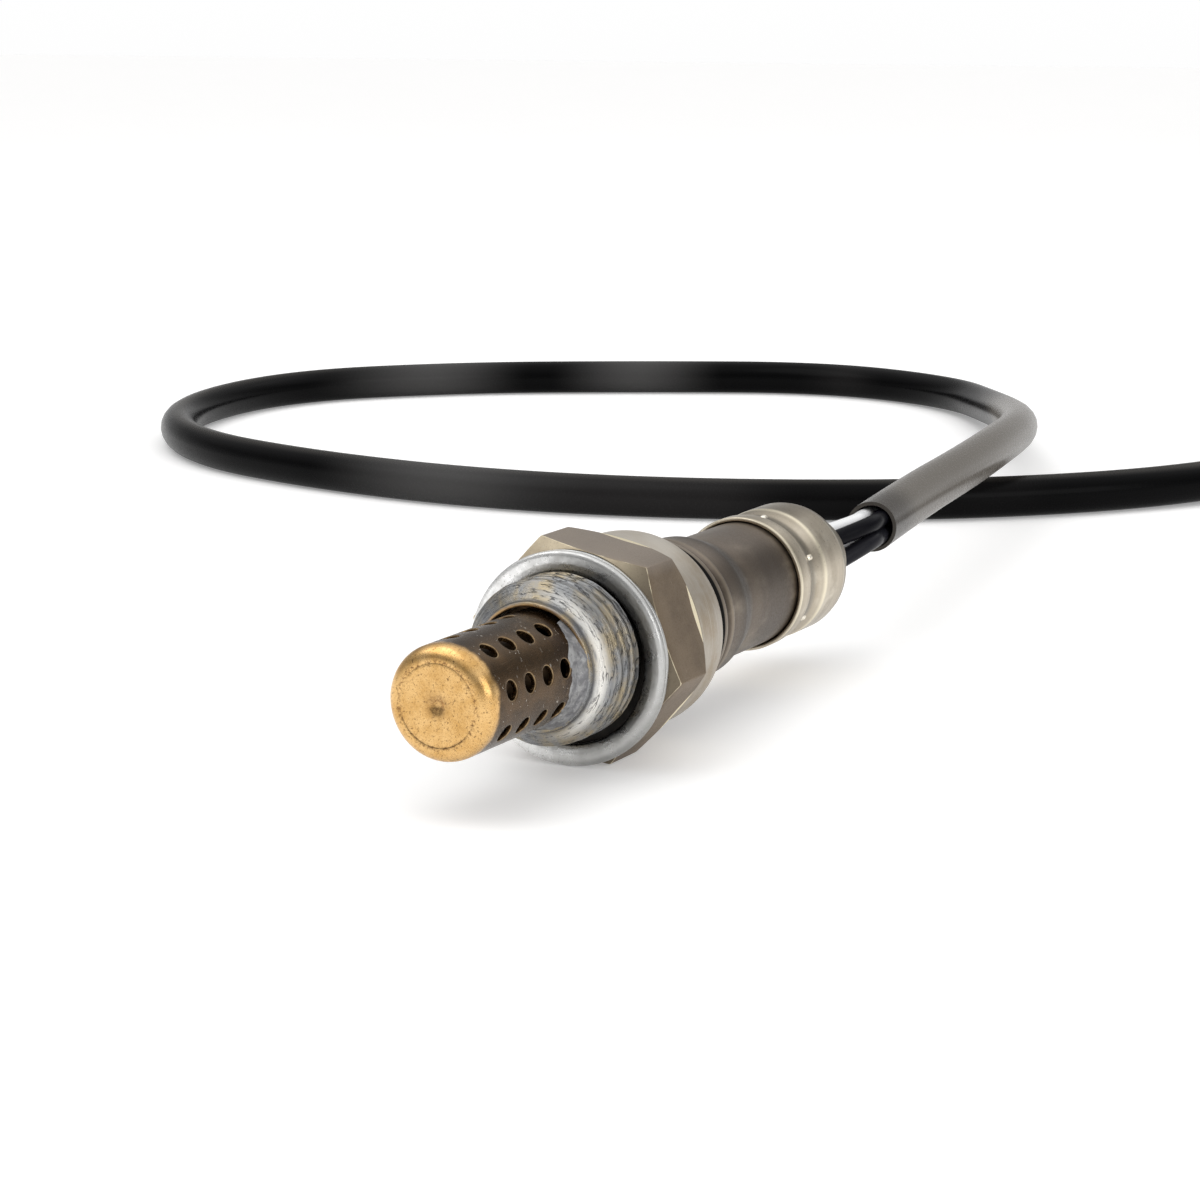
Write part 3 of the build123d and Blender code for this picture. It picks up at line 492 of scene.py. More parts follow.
def cap_look():
    """The rear cap: pale champagne steel in faint bands, with painted shade in its valleys and on its top
    behind the rim, and painted highlights on its raised rings.
    """
    look = Look("cap", Metallic=0.92)
    band = look.noise((0.05, 0.5, 0.05), 3, 0.5)
    cloud = look.round_noise(2.2, 0.2, 4, 0.6, seed=2)
    grain = look.noise(4, 4, 0.7, seed=4)
    colour = look.shade((0.52, 0.46, 0.365), band, 0.4, 0.65, (0.40, 0.345, 0.265))
    colour = look.shade(colour, cloud, 0.5, 0.75, (0.62, 0.56, 0.46))
    # Painted shade in the cap's valleys and on its neck.
    valley_shade = look.larger(look.band("y", 48.4, 1.6), look.band("y", 57.8, 0.9))
    valley_shade = look.larger(valley_shade, look.step("y", 58.7, 59.2))
    colour = look.tint(colour, valley_shade, 0.85, (0.19, 0.168, 0.13))
    # Painted shade: the cap's top behind the rim is painted darker.
    top = look.times(look.step("z", 4.5, 7.8), look.step("y", 49.5, 51.5))
    colour = look.tint(colour, top, 0.65, (0.20, 0.165, 0.12))
    # Painted highlights on the cap's rim and middle ring.
    ridge = look.larger(look.band("y", 44.2, 0.4), look.band("y", 51.4, 0.7))
    colour = look.tint(colour, ridge, 0.8, (0.88, 0.80, 0.62))
    return look.set(colour, look.rough(grain, 0.26, 0.40), grain, 0.01)


def metal_look(name, light, dark, rough, metallic=0.9):
    """Plain sheet or turned metal, with a light mottle."""
    look = Look(name, Metallic=metallic)
    cloud = look.noise(0.5, 4, 0.6)
    grain = look.noise(5, 4, 0.7, seed=2)
    colour = look.shade(light, cloud, 0.38, 0.66, dark)
    return look.set(colour, look.rough(grain, rough - 0.07, rough + 0.1), grain, 0.01)


def smooth_look(name, light, dark, rough, shine=0.5):
    """Rubber, plastic or ceramic: a slow change of tone, a fine grain and a slight ripple."""
    look = Look(name, Metallic=0.0, Specular_IOR_Level=shine)
    cloud = look.noise(0.12, 4, 0.55)
    grain = look.noise(6, 4, 0.7, seed=2)
    wave = look.noise(1, 2, 0.5, seed=4)
    colour = look.shade(light, cloud, 0.36, 0.66, dark)
    height = look.plus(wave, look.times(grain, 0.25))
    return look.set(colour, look.rough(grain, rough - 0.05, rough + 0.08), height, 0.01)


def lead_look():
    """The lead's black sleeve: glossy, faintly rippled, with dusty patches along it, a painted sheen on its
    rise from the sensor and painted glints along the loop.
    """
    look = Look("lead_sleeve", Metallic=0.0, Specular_IOR_Level=0.045)
    patch = look.noise(0.018, 2, 0.5, seed=5)
    grain = look.noise(3, 4, 0.7, seed=2)
    wave = look.noise(0.25, 2, 0.5, seed=4)
    colour = look.shade((0.0020, 0.0020, 0.0022), patch, 0.52, 0.66, (0.018, 0.017, 0.017))
    # Painted sheen: the lead's rise from the sensor is painted grey.
    rising_sheen = look.times(look.step("y", 215, 270, 1.0, 0.0), look.step("z", -6.5, -4))
    near_mouth = look.step("y", 78, 95)
    rising_sheen = look.times(rising_sheen, look.span(near_mouth, 0.0, 1.0, 0.45, 1.0))
    colour = look.tint(colour, rising_sheen, 0.85, (0.165, 0.150, 0.130))
    # Painted glints: grey patches at set places along the loop.
    far = look.step("y", 200, 220)
    close = look.step("y", 155, 165, 1.0, 0.0)
    glints = look.larger(look.band("x", -166, 16), look.band("x", -131, 16))
    glints = look.times(glints, far)
    glints = look.larger(glints, look.times(look.band("x", -96, 28), close))
    colour = look.tint(colour, glints, 0.7, (0.09, 0.088, 0.087))
    rough = look.rough(grain, 0.20, 0.32)
    height = look.plus(wave, look.times(grain, 0.12))
    return look.set(colour, rough, height, 0.02)


LOOKS = {
    "tip": tip_look(),
    "shell": shell_look(),
    "ring": ring_look(),
    "hexagon": hex_look(
        "hexagon", (0.21, 0.158, 0.106), (0.15, 0.111, 0.074), (0.07, 0.052, 0.037), (0.31, 0.25, 0.18)
    ),
    "chamfer": hex_look(
        "chamfer", (0.74, 0.64, 0.47), (0.54, 0.45, 0.32), (0.14, 0.11, 0.08), (0.66, 0.60, 0.50), shade_share=0.85
    ),
    "edge": edge_look(),
    "paste": paste_look(),
    # Painted shade: a near-black look for the hexagon's face inside the ring.
    "ring_gap_shade": metal_look("ring_gap_shade", (0.035, 0.03, 0.025), (0.015, 0.013, 0.011), 0.6, metallic=0.5),
    "collar": collar_look(),
    "sleeve": sleeve_look(),
    "cap": cap_look(),
    # Painted highlight: the crimp marks are painted pale, much lighter than the cap.
    "crimp": metal_look("crimp", (0.92, 0.87, 0.76), (0.80, 0.74, 0.62), 0.3),
    "inner_steel": metal_look("inner_steel", (0.12, 0.075, 0.04), (0.07, 0.045, 0.025), 0.45),
    # Painted highlight: the hole rims are painted lighter than the tube.
    "hole_rim": metal_look("hole_rim", (0.34, 0.24, 0.13), (0.20, 0.13, 0.07), 0.3),
    "contact": metal_look("contact_metal", (0.62, 0.60, 0.55), (0.5, 0.48, 0.44), 0.35),
    "ceramic": smooth_look("ceramic", (0.80, 0.78, 0.73), (0.72, 0.70, 0.65), 0.5),
    "grommet": smooth_look("grommet_rubber", (0.045, 0.043, 0.042), (0.03, 0.03, 0.03), 0.5),
    "white_wire": smooth_look("white_wire", (0.90, 0.905, 0.91), (0.85, 0.855, 0.86), 0.28, shine=0.4),
    "black_wire": smooth_look("black_wire", (0.003, 0.003, 0.005), (0.005, 0.005, 0.007), 0.3, shine=0.06),
    "grey_wire": smooth_look("grey_wire", (0.020, 0.020, 0.026), (0.014, 0.014, 0.018), 0.3, shine=0.1),
    "lead": lead_look(),
    "plastic": smooth_look("connector_plastic", (0.022, 0.022, 0.024), (0.03, 0.03, 0.032), 0.42),
    "rubber": smooth_look("connector_rubber", (0.02, 0.02, 0.02), (0.028, 0.028, 0.028), 0.55),
    "seal": smooth_look("seal_rubber", (0.33, 0.10, 0.06), (0.28, 0.08, 0.05), 0.45),
    "lock": smooth_look("lock_plastic", (0.33, 0.33, 0.34), (0.27, 0.27, 0.28), 0.4),
}

# The looks of the nodes that show as the CAD model has them.
PLAIN_NODES = {
    "inner_steel": ["inner_protection_tube"],
    "ceramic": [
        "sensor_element",
        "support_ceramic",
        "powder_seal",
        "ceramic_bush",
        "vent_membrane",
        "rear_spacer",
        "contact_holder",
    ],
    "grommet": ["cable_grommet"],
    "contact": [
        "press_ring",
        "spring_band",
        "terminal_pins",
        *("spring_contact_" + str(number) for number in range(1, 5)),
    ],
    "rubber": ["connector_boot"],
    "plastic": ["connector_housing", "rear_cover"],
    "seal": ["wire_seal", "face_seal"],
    "lock": ["terminal_lock"],
}
for look_name, node_names in PLAIN_NODES.items():
    for node_name in node_names:
        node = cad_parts[node_name]
        node.data.materials.clear()
        node.data.materials.append(LOOKS[look_name])


# ---------------------------------------------------------------- mesh helpers
SAME_POINT = 1e-6
NOISE_RADIUS = 9


def add_mesh(name, look, verts, faces, sharp, drop=0.0):
    """A smooth mesh piece on the root body, from points in millimetres. Edges over sharp degrees show."""
    mesh = bpy.data.meshes.new(name)
    mesh.from_pydata([mm(x, y, z - drop) for x, y, z in verts], [], faces)
    work = bmesh.new()
    work.from_mesh(mesh)
    bmesh.ops.remove_doubles(work, verts=work.verts, dist=SAME_POINT)
    bmesh.ops.recalc_face_normals(work, faces=work.faces)
    work.to_mesh(mesh)
    work.free()
    mesh.shade_smooth()
    mesh.set_sharp_from_angle(angle=radians(sharp))
    mesh.materials.append(LOOKS[look])
    piece = add_object(name, mesh)
    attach(piece, "root")
    return piece


def grid(rows, columns, rows_close=False, columns_close=False):
    """The faces of a grid of points listed row by row, closed where its rows or columns go round."""
    faces = []
    for row in range(rows if rows_close else rows - 1):
        low = row * columns
        high = (row + 1) % rows * columns
        for column in range(columns if columns_close else columns - 1):
            after = (column + 1) % columns
            faces.append((low + column, low + after, high + after, high + column))
    return faces


def polar(radius, place, angle):
    """The point at this radius and angle about the axis, and at this place along it."""
    return (radius * sin(angle), place, radius * cos(angle))


def rounded(points, radius, steps):
    """A profile with its inner corners rounded to this radius, or to what its shorter side allows."""
    out = [points[0]]
    for before, corner, after in zip(points, points[1:], points[2:]):
        here = Vector(corner)
        back = Vector(before) - here
        ahead = Vector(after) - here
        reach = min(radius, back.length * 0.45, ahead.length * 0.45)
        start = here + back.normalized() * reach
        end = here + ahead.normalized() * reach
        for step in range(steps + 1):
            t = step / steps
            out.append(tuple(start * (1 - t) ** 2 + here * 2 * t * (1 - t) + end * t**2))
    out.append(points[-1])
    return out


def refined(points, pitch):
    """A profile with extra points, so that no side is longer than pitch."""
    out = [points[0]]
    for before, after in zip(points, points[1:]):
        run = (Vector(after) - Vector(before)).length
        count = max(1, int(run / pitch + 0.999))
        for step in range(1, count + 1):
            t = step / count
            out.append((before[0] + (after[0] - before[0]) * t, before[1] + (after[1] - before[1]) * t))
    return out


def lathe(name, look, profile, segments, sharp, shift=None, drop=0.0):
    """A turned piece from its profile of (radius, place). shift(angle, radius, place) moves the radius."""
    verts = []
    for radius, place in profile:
        for segment in range(segments):
            angle = 2 * pi * segment / segments
            reach = radius + (shift(angle, radius, place) if shift else 0.0)
            verts.append(polar(reach, place, angle))
    faces = grid(len(profile), segments, columns_close=True)
    return add_mesh(name, look, verts, faces, sharp, drop)


def ripple(angle, place, size, seed):
    """Smooth noise around the axis, from -1 to 1, of features of this size in millimetres."""
    reach = NOISE_RADIUS / size
    return noise.noise(Vector((sin(angle) * reach, place / size + seed, cos(angle) * reach)))


def lumps(layers, angle, place):
    """The sum of layers of noise, each given as (height, size, seed)."""
    return sum(height * ripple(angle, place, size, seed) for height, size, seed in layers)


# ---------------------------------------------------------------- perforated tube
def hole_cell(angle_middle, place_middle, outer, inner):
    """The faces of one pierced cell of the tube's wall: outside, rim, hole wall and inside."""
    half_angle = pi / HOLE_ROWS
    half_place = HOLE_PITCH / 2
    square = []
    for side in range(4):
        for step in range(CELL_STEPS):
            t = 2 * step / CELL_STEPS - 1
            square.append([(t, -1), (1, t), (-t, 1), (-1, -t)][side])

    def loop(radius, hole, share):
        """The ring of points at share of the way from the hole's edge to the cell's."""
        ring = []
        for a, b in square:
            edge_a = a * half_angle
            edge_b = b * half_place
            way = atan2(edge_b, edge_a * outer)
            hole_a = asin(hole * cos(way) / radius)
            hole_b = hole * sin(way)
            angle = angle_middle + hole_a + (edge_a - hole_a) * share
            place = place_middle + hole_b + (edge_b - hole_b) * share
            ring.append(polar(radius, place, angle))
        return ring

    ease = HOLE_RIM * 0.3
    loops = [loop(outer, HOLE_RADIUS + HOLE_RIM, share) for share in OUTER_SHARES]
    loops.append(loop(outer - ease, HOLE_RADIUS + ease, 0))
    loops.append(loop(outer - HOLE_RIM, HOLE_RADIUS, 0))
    loops.append(loop(inner, HOLE_RADIUS, 0))
    loops += [loop(inner, HOLE_RADIUS, share) for share in INNER_SHARES]
    verts = [point for ring in loops for point in ring]
    return verts, grid(len(loops), HOLE_SIDES, columns_close=True)


def perforated_tube():
    """The pierced band of cells, the rounded edge and dimpled tip before it, and the plain wall behind."""
    outer = TUBE_RADIUS
    inner = TUBE_RADIUS - TUBE_WALL
    verts = []
    faces = []

    def add(points, polygons):
        """Add points, and faces that count from the first of them."""
        start = len(verts)
        verts.extend(points)
        faces.extend([tuple(start + index for index in polygon) for polygon in polygons])

    first = -TUBE_REACH + FIRST_HOLE
    for row in range(HOLE_ROWS):
        for step in range(HOLES_PER_ROW):
            angle = radians(HOLE_ROLL) + row * 2 * pi / HOLE_ROWS
            add(*hole_cell(angle, first + step * HOLE_PITCH, outer, inner))
    band_front = first - HOLE_PITCH / 2
    band_rear = first + (HOLES_PER_ROW - 0.5) * HOLE_PITCH
    segments = HOLE_ROWS * CELL_STEPS
    turn = radians(HOLE_ROLL) - pi / HOLE_ROWS

    def strip(profile):
        """A turned wall whose points line up with those of the cells."""
        turns = [turn + 2 * pi * segment / segments for segment in range(segments)]
        points = [polar(radius, place, angle) for radius, place in profile for angle in turns]
        add(points, grid(len(profile), segments, columns_close=True))

    flat = outer - TUBE_EDGE
    edge_start = TUBE_EDGE - TUBE_REACH
    edge = [(outer, band_front), (outer, edge_start)]
    for step in range(1, EDGE_STEPS + 1):
        angle = step * pi / 2 / EDGE_STEPS
        edge.append((flat + TUBE_EDGE * cos(angle), edge_start - TUBE_EDGE * sin(angle)))
    face = [
        (flat - 0.05, 0.02),
        (flat - 0.14, 0.06),
        (flat - 0.26, 0.02),
        (2.4, 0.02),
        (1.5, 0.03),
        (DIMPLE_RADIUS, 0.05),
        (0.85, 0.12),
        (0.5, 0.3),
        (0.25, DIMPLE_DEPTH),
        (ON_AXIS, DIMPLE_DEPTH),
    ]
    face = [(radius, depth - TUBE_REACH) for radius, depth in face]
    strip(refined(edge, pitch=0.5) + refined(face, pitch=0.35))
    strip([(outer, band_rear), (outer, band_rear + 1.2), (outer, TUBE_REAR)])
    strip([(inner, band_rear), (inner, TUBE_REAR)])
    inside = TUBE_WALL - TUBE_REACH
    strip([(inner, band_front), (inner, edge_start), (inner - 1, inside), (ON_AXIS, inside)])
    piece = add_mesh("tip_tube", "tip", verts, faces, sharp=40)
    piece.data.materials.append(LOOKS["hole_rim"])
    piece.data.materials.append(LOOKS["inner_steel"])
    # The hole rims take the lighter rim look, a painted highlight; the hole walls and inside take the inner
    # steel.
    for polygon in piece.data.polygons[: HOLE_ROWS * HOLES_PER_ROW * HOLE_BANDS * HOLE_SIDES]:
        band = polygon.index // HOLE_SIDES % HOLE_BANDS
        if FIRST_RIM_BAND <= band < HOLE_WALL_BAND:
            polygon.material_index = 1
        if band > HOLE_WALL_BAND:
            polygon.material_index = 2
    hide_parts("outer_protection_tube")


perforated_tube()


# ---------------------------------------------------------------- shell
PASTE_SKIN = ((0.05, 1.6, 3), (0.03, 0.6, 9))
SKIN_DROP = 0.06
GROOVE_HALF = 0.34
GROOVE_PASTE = 0.34
GROOVE_LUMPS = ((0.34, 3.2, 20), (0.12, 1.0, 31))
GROOVE_LEAST = 0.04
CREST_HALF = 0.12
CREST_RISE = 0.05
CREST_LIMIT = 0.02


def thread_shift(angle, radius, place):
    """The thread's groove, partly filled with paste, and the paste's own lumps."""
    skin = lumps(PASTE_SKIN, angle, place)
    beside = place < THREAD_FRONT - 0.1 or place > THREAD_REAR - 0.05
    if beside or radius < THREAD_RADIUS - 0.3:
        return skin * 0.7 - SKIN_DROP / 2
    phase = (place / THREAD_PITCH - angle / (2 * pi)) % 1.0
    from_groove = abs(phase - 0.5)
    depth = THREAD_DEPTH * max(0.0, 1 - from_groove / GROOVE_HALF)
    fill = GROOVE_PASTE + lumps(GROOVE_LUMPS, angle, place)
    crest = CREST_RISE * max(0.0, 1 - abs(from_groove - 0.5) / CREST_HALF)
    return min(CREST_LIMIT, skin - SKIN_DROP + crest) - min(depth, max(GROOVE_LEAST, fill))


def metal_shell():
    """The shell in three pieces: the nose with its thread, the hexagon and the rolled collar."""
    nose = [
        (MOUTH_RADIUS, TUBE_REAR + 0.02),
        (MOUTH_RADIUS, NOSE_FRONT),
        (NOSE_RADIUS, NOSE_FRONT),
        (NOSE_RADIUS, NOSE_FRONT + NOSE_LAND),
        (THREAD_RADIUS, THREAD_FRONT),
        (THREAD_RADIUS, THREAD_REAR),
        (RUN_OUT_RADIUS, THREAD_REAR + 0.05),
        (RUN_OUT_RADIUS, RUN_OUT_END),
        (NECK_RADIUS, RUN_OUT_END + 0.1),
        (NECK_RADIUS, HEX_FRONT + 0.05),
    ]
    profile = refined(rounded(nose, radius=0.22, steps=4), pitch=0.07)
    front = lathe("shell_nose", "shell", profile, segments=288, sharp=60, shift=thread_shift)
    collar = [
        (COLLAR_RADIUS - 0.2, HEX_REAR - 0.3),
        (COLLAR_RADIUS, HEX_REAR - 0.1),
        (COLLAR_RADIUS, COLLAR_ROLL),
        (COLLAR_RADIUS - 0.18, COLLAR_ROLL + 1.2),
        (COLLAR_RADIUS - 0.6, COLLAR_ROLL + 2.3),
        (COLLAR_END_RADIUS, COLLAR_END),
        (COLLAR_LIP, COLLAR_END - 0.05),
        (COLLAR_LIP, COLLAR_END - 1.5),
    ]
    collar = rounded(collar, radius=0.5, steps=6)
    rear = lathe("shell_collar", "collar", collar, segments=192, sharp=50)
    middle = hexagon()
    for piece in (front, rear, middle):
        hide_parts("metal_shell")


def hexagon_column(reach, angle):
    """The points from the bore over the front chamfer, along the flat and over the rear chamfer."""
    flat = HEX_FLATS / 2
    front_slope = (HEX_CORNER_FRONT - HEX_FRONT) / (HEX_CORNER - flat)
    rear_slope = (HEX_REAR - HEX_CORNER_REAR) / (HEX_CORNER - COLLAR_RADIUS)
    start = HEX_FRONT + (reach - flat) * front_slope
    end = HEX_REAR - (reach - COLLAR_RADIUS) * rear_slope
    column = [(NECK_RADIUS - 0.1, HEX_FRONT), (flat - 0.05, HEX_FRONT), (flat, HEX_FRONT + HEX_STEP)]
    for share in (0.35, 0.7):
        column.append((flat + (reach - flat) * share, HEX_FRONT + HEX_STEP + (start - HEX_FRONT) * share))
    eased = reach - HEX_EASE * 0.4
    column.append((eased, start - HEX_EASE * 0.15 + HEX_STEP))
    column.append((reach, start + HEX_EASE + 0.03))
    for share in (0.2, 0.4, 0.6, 0.8):
        column.append((reach, start + (end - start) * share))
    column.append((reach, end - HEX_EASE - 0.01 - GLEAM * max(0.0, cos(angle * 90 / GLEAM_TURN))))
    column.append((reach, end - HEX_EASE))
    behind = end + HEX_EASE * 0.3
    column.append((eased, behind))
    for share in (0.35, 0.7, 1.0):
        radius = eased + (COLLAR_RADIUS - 0.05 - eased) * share
        column.append((radius, behind + (HEX_REAR - behind) * share))
    return column


def hexagon():
    """The hexagon with the curves where its flats meet the two conical chamfers, and eased corners."""
    columns = []
    verts = []
    for side in range(6):
        for degrees in (-30, -HEX_EDGE, *range(-28, 29, 2), HEX_EDGE):
            angle = radians(degrees)
            turn = radians(HEX_ROLL + 30 + side * 60) + angle
            reach = min(HEX_FLATS / 2 / cos(angle), HEX_CORNER - HEX_CORNER_CUT)
            columns.append(hexagon_column(reach, angle))
            verts += [polar(radius, place, turn) for radius, place in columns[-1]]
    points = len(columns[0])
    faces = grid(len(columns), points, rows_close=True)
    piece = add_mesh("shell_hexagon", "hexagon", verts, faces, sharp=24)
    for look in ("chamfer", "edge", "ring_gap_shade"):
        piece.data.materials.append(LOOKS[look])
    for polygon in piece.data.polygons:
        band = polygon.index % (points - 1)
        middle = polygon.center
        turn = (atan2(middle.x, middle.z) - radians(HEX_ROLL)) % (pi / 3) - pi / 6
        # The gleam faces take the bright edge look as a painted highlight.
        gleams = band == GLEAM_BAND and abs(turn) < radians(GLEAM_TURN)
        if not FRONT_EDGE_BAND < band < REAR_EDGE_BAND:
            polygon.material_index = 1
        if band == FRONT_EDGE_BAND or gleams:
            polygon.material_index = 2
        # Painted shade on the hexagon's front face inside the ring.
        if band < SHADE_BANDS and (middle.x**2 + middle.z**2) ** 0.5 < (RING_INNER + SHADE_REACH) * MM:
            polygon.material_index = 3
    return piece


metal_shell()

PASTE_FROM = 32.0
PASTE_TO = 196.0
PASTE_COLUMNS = 150
PASTE_ROWS = 34
PASTE_REACH = 2.1
PASTE_LEAST_REACH = 0.15
PASTE_OUTLINE = ((0.9, 3.0, 51), (0.5, 0.9, 57))
PASTE_LUMPS = ((0.10, 0.9, 60), (0.06, 0.4, 66))
PASTE_SUNK = 0.03
PASTE_TAPER = 0.12


def paste():
    """The smear of paste that fills the mouth on one side and feathers out on the tube."""
    verts = []
    for column in range(PASTE_COLUMNS):
        share = column / (PASTE_COLUMNS - 1)
        angle = radians(PASTE_FROM + (PASTE_TO - PASTE_FROM) * share)
        body = min(1.0, 4 * share, 4 * (1 - share))
        reach = (PASTE_REACH + lumps(PASTE_OUTLINE, angle, 0)) * body
        front = NOSE_FRONT - max(PASTE_LEAST_REACH, reach)
        for row in range(PASTE_ROWS):
            t = row / (PASTE_ROWS - 1)
            place = front + (NOSE_FRONT + 0.3 - front) * t
            rise = (NOSE_RADIUS - TUBE_RADIUS + 0.02) * (0.10 + 0.90 * t**1.5) * (0.35 + 0.65 * body)
            rise *= min(1.0, t / PASTE_TAPER)
            rise += lumps(PASTE_LUMPS, angle, place) * min(1.0, 5 * t) * body
            verts.append(polar(TUBE_RADIUS - PASTE_SUNK + rise, place, angle))
    piece = add_mesh("paste_smear", "paste", verts, grid(PASTE_COLUMNS, PASTE_ROWS), sharp=80)


paste()


# ---------------------------------------------------------------- sealing ring
RING_WAVES = ((0.03, 5.0, 40),)


def ring_shift(angle, radius, place):
    """The ring's slight waves, which only take away."""
    return lumps(RING_WAVES, angle, place) - RING_WAVES[0][0]


def sealing_ring():
    """The folded ring: a convex front, a closed fold inside and its seam line around the outside."""
    inner = RING_INNER
    outer = RING_OUTER
    front = RING_FRONT
    profile = [
        (inner + 0.5, RING_REAR),
        (inner + 0.1, RING_REAR - 0.2),
        (inner, RING_REAR * 0.6),
        (inner, front + 0.5),
        (inner + 0.12, front + 0.26),
        (inner + 0.5, front + 0.12),
        (inner + 1.1, front),
        (outer - 0.5, front + 0.02),
        (outer - 0.14, front + 0.16),
        (outer, front + 0.42),
        (outer, front + 0.66),
        (outer - 0.34, front + 0.78),
        (outer - 0.30, front + 0.90),
        (outer - 0.02, front + 0.98),
        (outer - 0.02, front + 1.25),
        (outer - 0.10, RING_REAR - 0.12),
        (outer - 0.35, RING_REAR),
        (inner + 0.5, RING_REAR),
    ]
    profile = rounded(profile, radius=0.14, steps=4)
    piece = lathe("folded_ring", "ring", profile, segments=220, sharp=85, shift=ring_shift, drop=RING_DROP)
    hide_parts("sealing_ring")


sealing_ring()


# ---------------------------------------------------------------- sleeve and cap
SLEEVE_PROFILE = [
    (8.38, 16.1),
    (8.38, 18.8),
    (9.15, 19.05),
    (9.15, 21.3),
    (8.4, 22.1),
    (8.65, 23.1),
    (8.65, 24.1),
    (8.2, 24.6),
    (8.2, 28.3),
    (7.35, 31.3),
    (7.35, 45.9),
    (6.8, 47.3),
    (6.8, 56.7),
]
CAP_PROFILE = [
    (7.5, 46.3),
    (7.5, 43.93),
    (7.95, 43.9),
    (7.95, 46.4),
    (7.35, 48.2),
    (7.35, 49.6),
    (7.85, 51.4),
    (7.85, 56.8),
    (7.63, 57.4),
    (7.63, 58.0),
    (5.6, 59.2),
    (5.6, 62.9),
    (5.2, 62.9),
    (5.15, 60.5),
]
CRIMP_MARKS = 6
CRIMP_ROLL = 6.0
CRIMP_RADIUS = 7.25
CRIMP_RISE = 0.38
CRIMP_HALF_TURN = 0.055
CRIMP_PLACE = 48.9
CRIMP_HALF_LENGTH = 0.65
CRIMP_ROWS = 7


def sleeve_and_cap():
    """The protective sleeve, and the cap crimped over its tail."""
    profile = rounded(SLEEVE_PROFILE, radius=0.45, steps=5)
    sleeve = lathe("body_sleeve", "sleeve", profile, segments=160, sharp=50)
    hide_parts("protective_sleeve")
    profile = rounded(CAP_PROFILE, radius=0.4, steps=5)
    cap = lathe("lead_cap", "cap", profile, segments=160, sharp=50)
    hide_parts("rear_cap")
    for mark in range(CRIMP_MARKS):
        crimp_mark(mark + 1, radians(CRIMP_ROLL + mark * 360 / CRIMP_MARKS))


def crimp_mark(number, angle):
    """A small round-backed ridge left between the crimping jaws."""
    shares = [2 * step / (CRIMP_ROWS - 1) - 1 for step in range(CRIMP_ROWS)]
    verts = []
    for across in shares:
        for along in shares:
            rise = max(0.0, 1 - across**2) ** 0.5 * max(0.0, 1 - along**2) ** 0.5
            place = CRIMP_PLACE + along * CRIMP_HALF_LENGTH
            verts.append(polar(CRIMP_RADIUS + CRIMP_RISE * rise, place, angle + across * CRIMP_HALF_TURN))
    piece = add_mesh("crimp_mark_" + str(number), "crimp", verts, grid(CRIMP_ROWS, CRIMP_ROWS), sharp=80)


sleeve_and_cap()


# ---------------------------------------------------------------- lead
CONNECTOR_Z = -4.2
# The sleeve's control points, from its mouth at the sensor round the loop to the connector.
LEAD_POINTS = [
    (3.4, 76, 2.2),
    (-1, 102, 2.0),
    (-5, 130, 1.6),
    (-10, 158, 1.0),
    (-17, 188, -0.6),
    (-30, 222, -4.0),
    (-46, 257, -7.6),
    (-66, 287, LEAD_REST),
    (-98, 297, LEAD_REST),
    (-132, 281, LEAD_REST),
    (-163, 263, LEAD_REST),
    (-188, 234, LEAD_REST),
    (-184, 191, LEAD_REST),
    (-159, 158, LEAD_REST),
    (-122, 144, LEAD_REST),
    (-84, 140, LEAD_REST),
    (-47, 149, LEAD_REST),
    (-14, 168, LEAD_REST),
    (11, 198, LEAD_REST),
    (26, 231, -7.2),
    (31, 264, CONNECTOR_Z),
    (31, 290, CONNECTOR_Z),
]
LEAD_START = Vector(LEAD_POINTS[0])
LEAD_WAY = (Vector(LEAD_POINTS[1]) - LEAD_START).normalized()
LEAD_SIDE = Vector((0, 0, 1)).cross(LEAD_WAY).normalized()
LEAD_UP = LEAD_WAY.cross(LEAD_SIDE)
WIRE_SPREAD = 1.62
BUNDLE_SPREAD = 1.08
WIRE_START = 58.0
CAP_END = 62.9
WIRE_STRAIGHT = 3.5
WIRE_LEAD_IN = 4.5
WIRE_DEPTH = 8.0
MOUTH_SEGMENTS = 48
# Each wire's node, with its side and height in the bundle, its look and its slot.
WIRES = {
    "lead_wire_white_a": (-1, 1, "white_wire", "wire_white"),
    "lead_wire_white_b": (-1, -1, "white_wire", "wire_white"),
    "lead_wire_black": (1, 1, "black_wire", "wire_black"),
    "lead_wire_grey": (1, -1, "grey_wire", "wire_grey"),
}


def curve(name, look, points, radius):
    """A smooth round line through the air along these control points, in millimetres."""
    data = bpy.data.curves.new(name, "CURVE")
    data.dimensions = "3D"
    data.bevel_depth = radius * MM
    data.bevel_resolution = 8
    data.resolution_u = 14
    spline = data.splines.new("NURBS")
    spline.points.add(len(points) - 1)
    for control, point in zip(spline.points, points):
        control.co = (*mm(*point), 1.0)
    spline.order_u = 3
    spline.use_endpoint_u = True
    data.materials.append(LOOKS[look])
    piece = add_object(name, data)
    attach(piece, "root")
    return piece


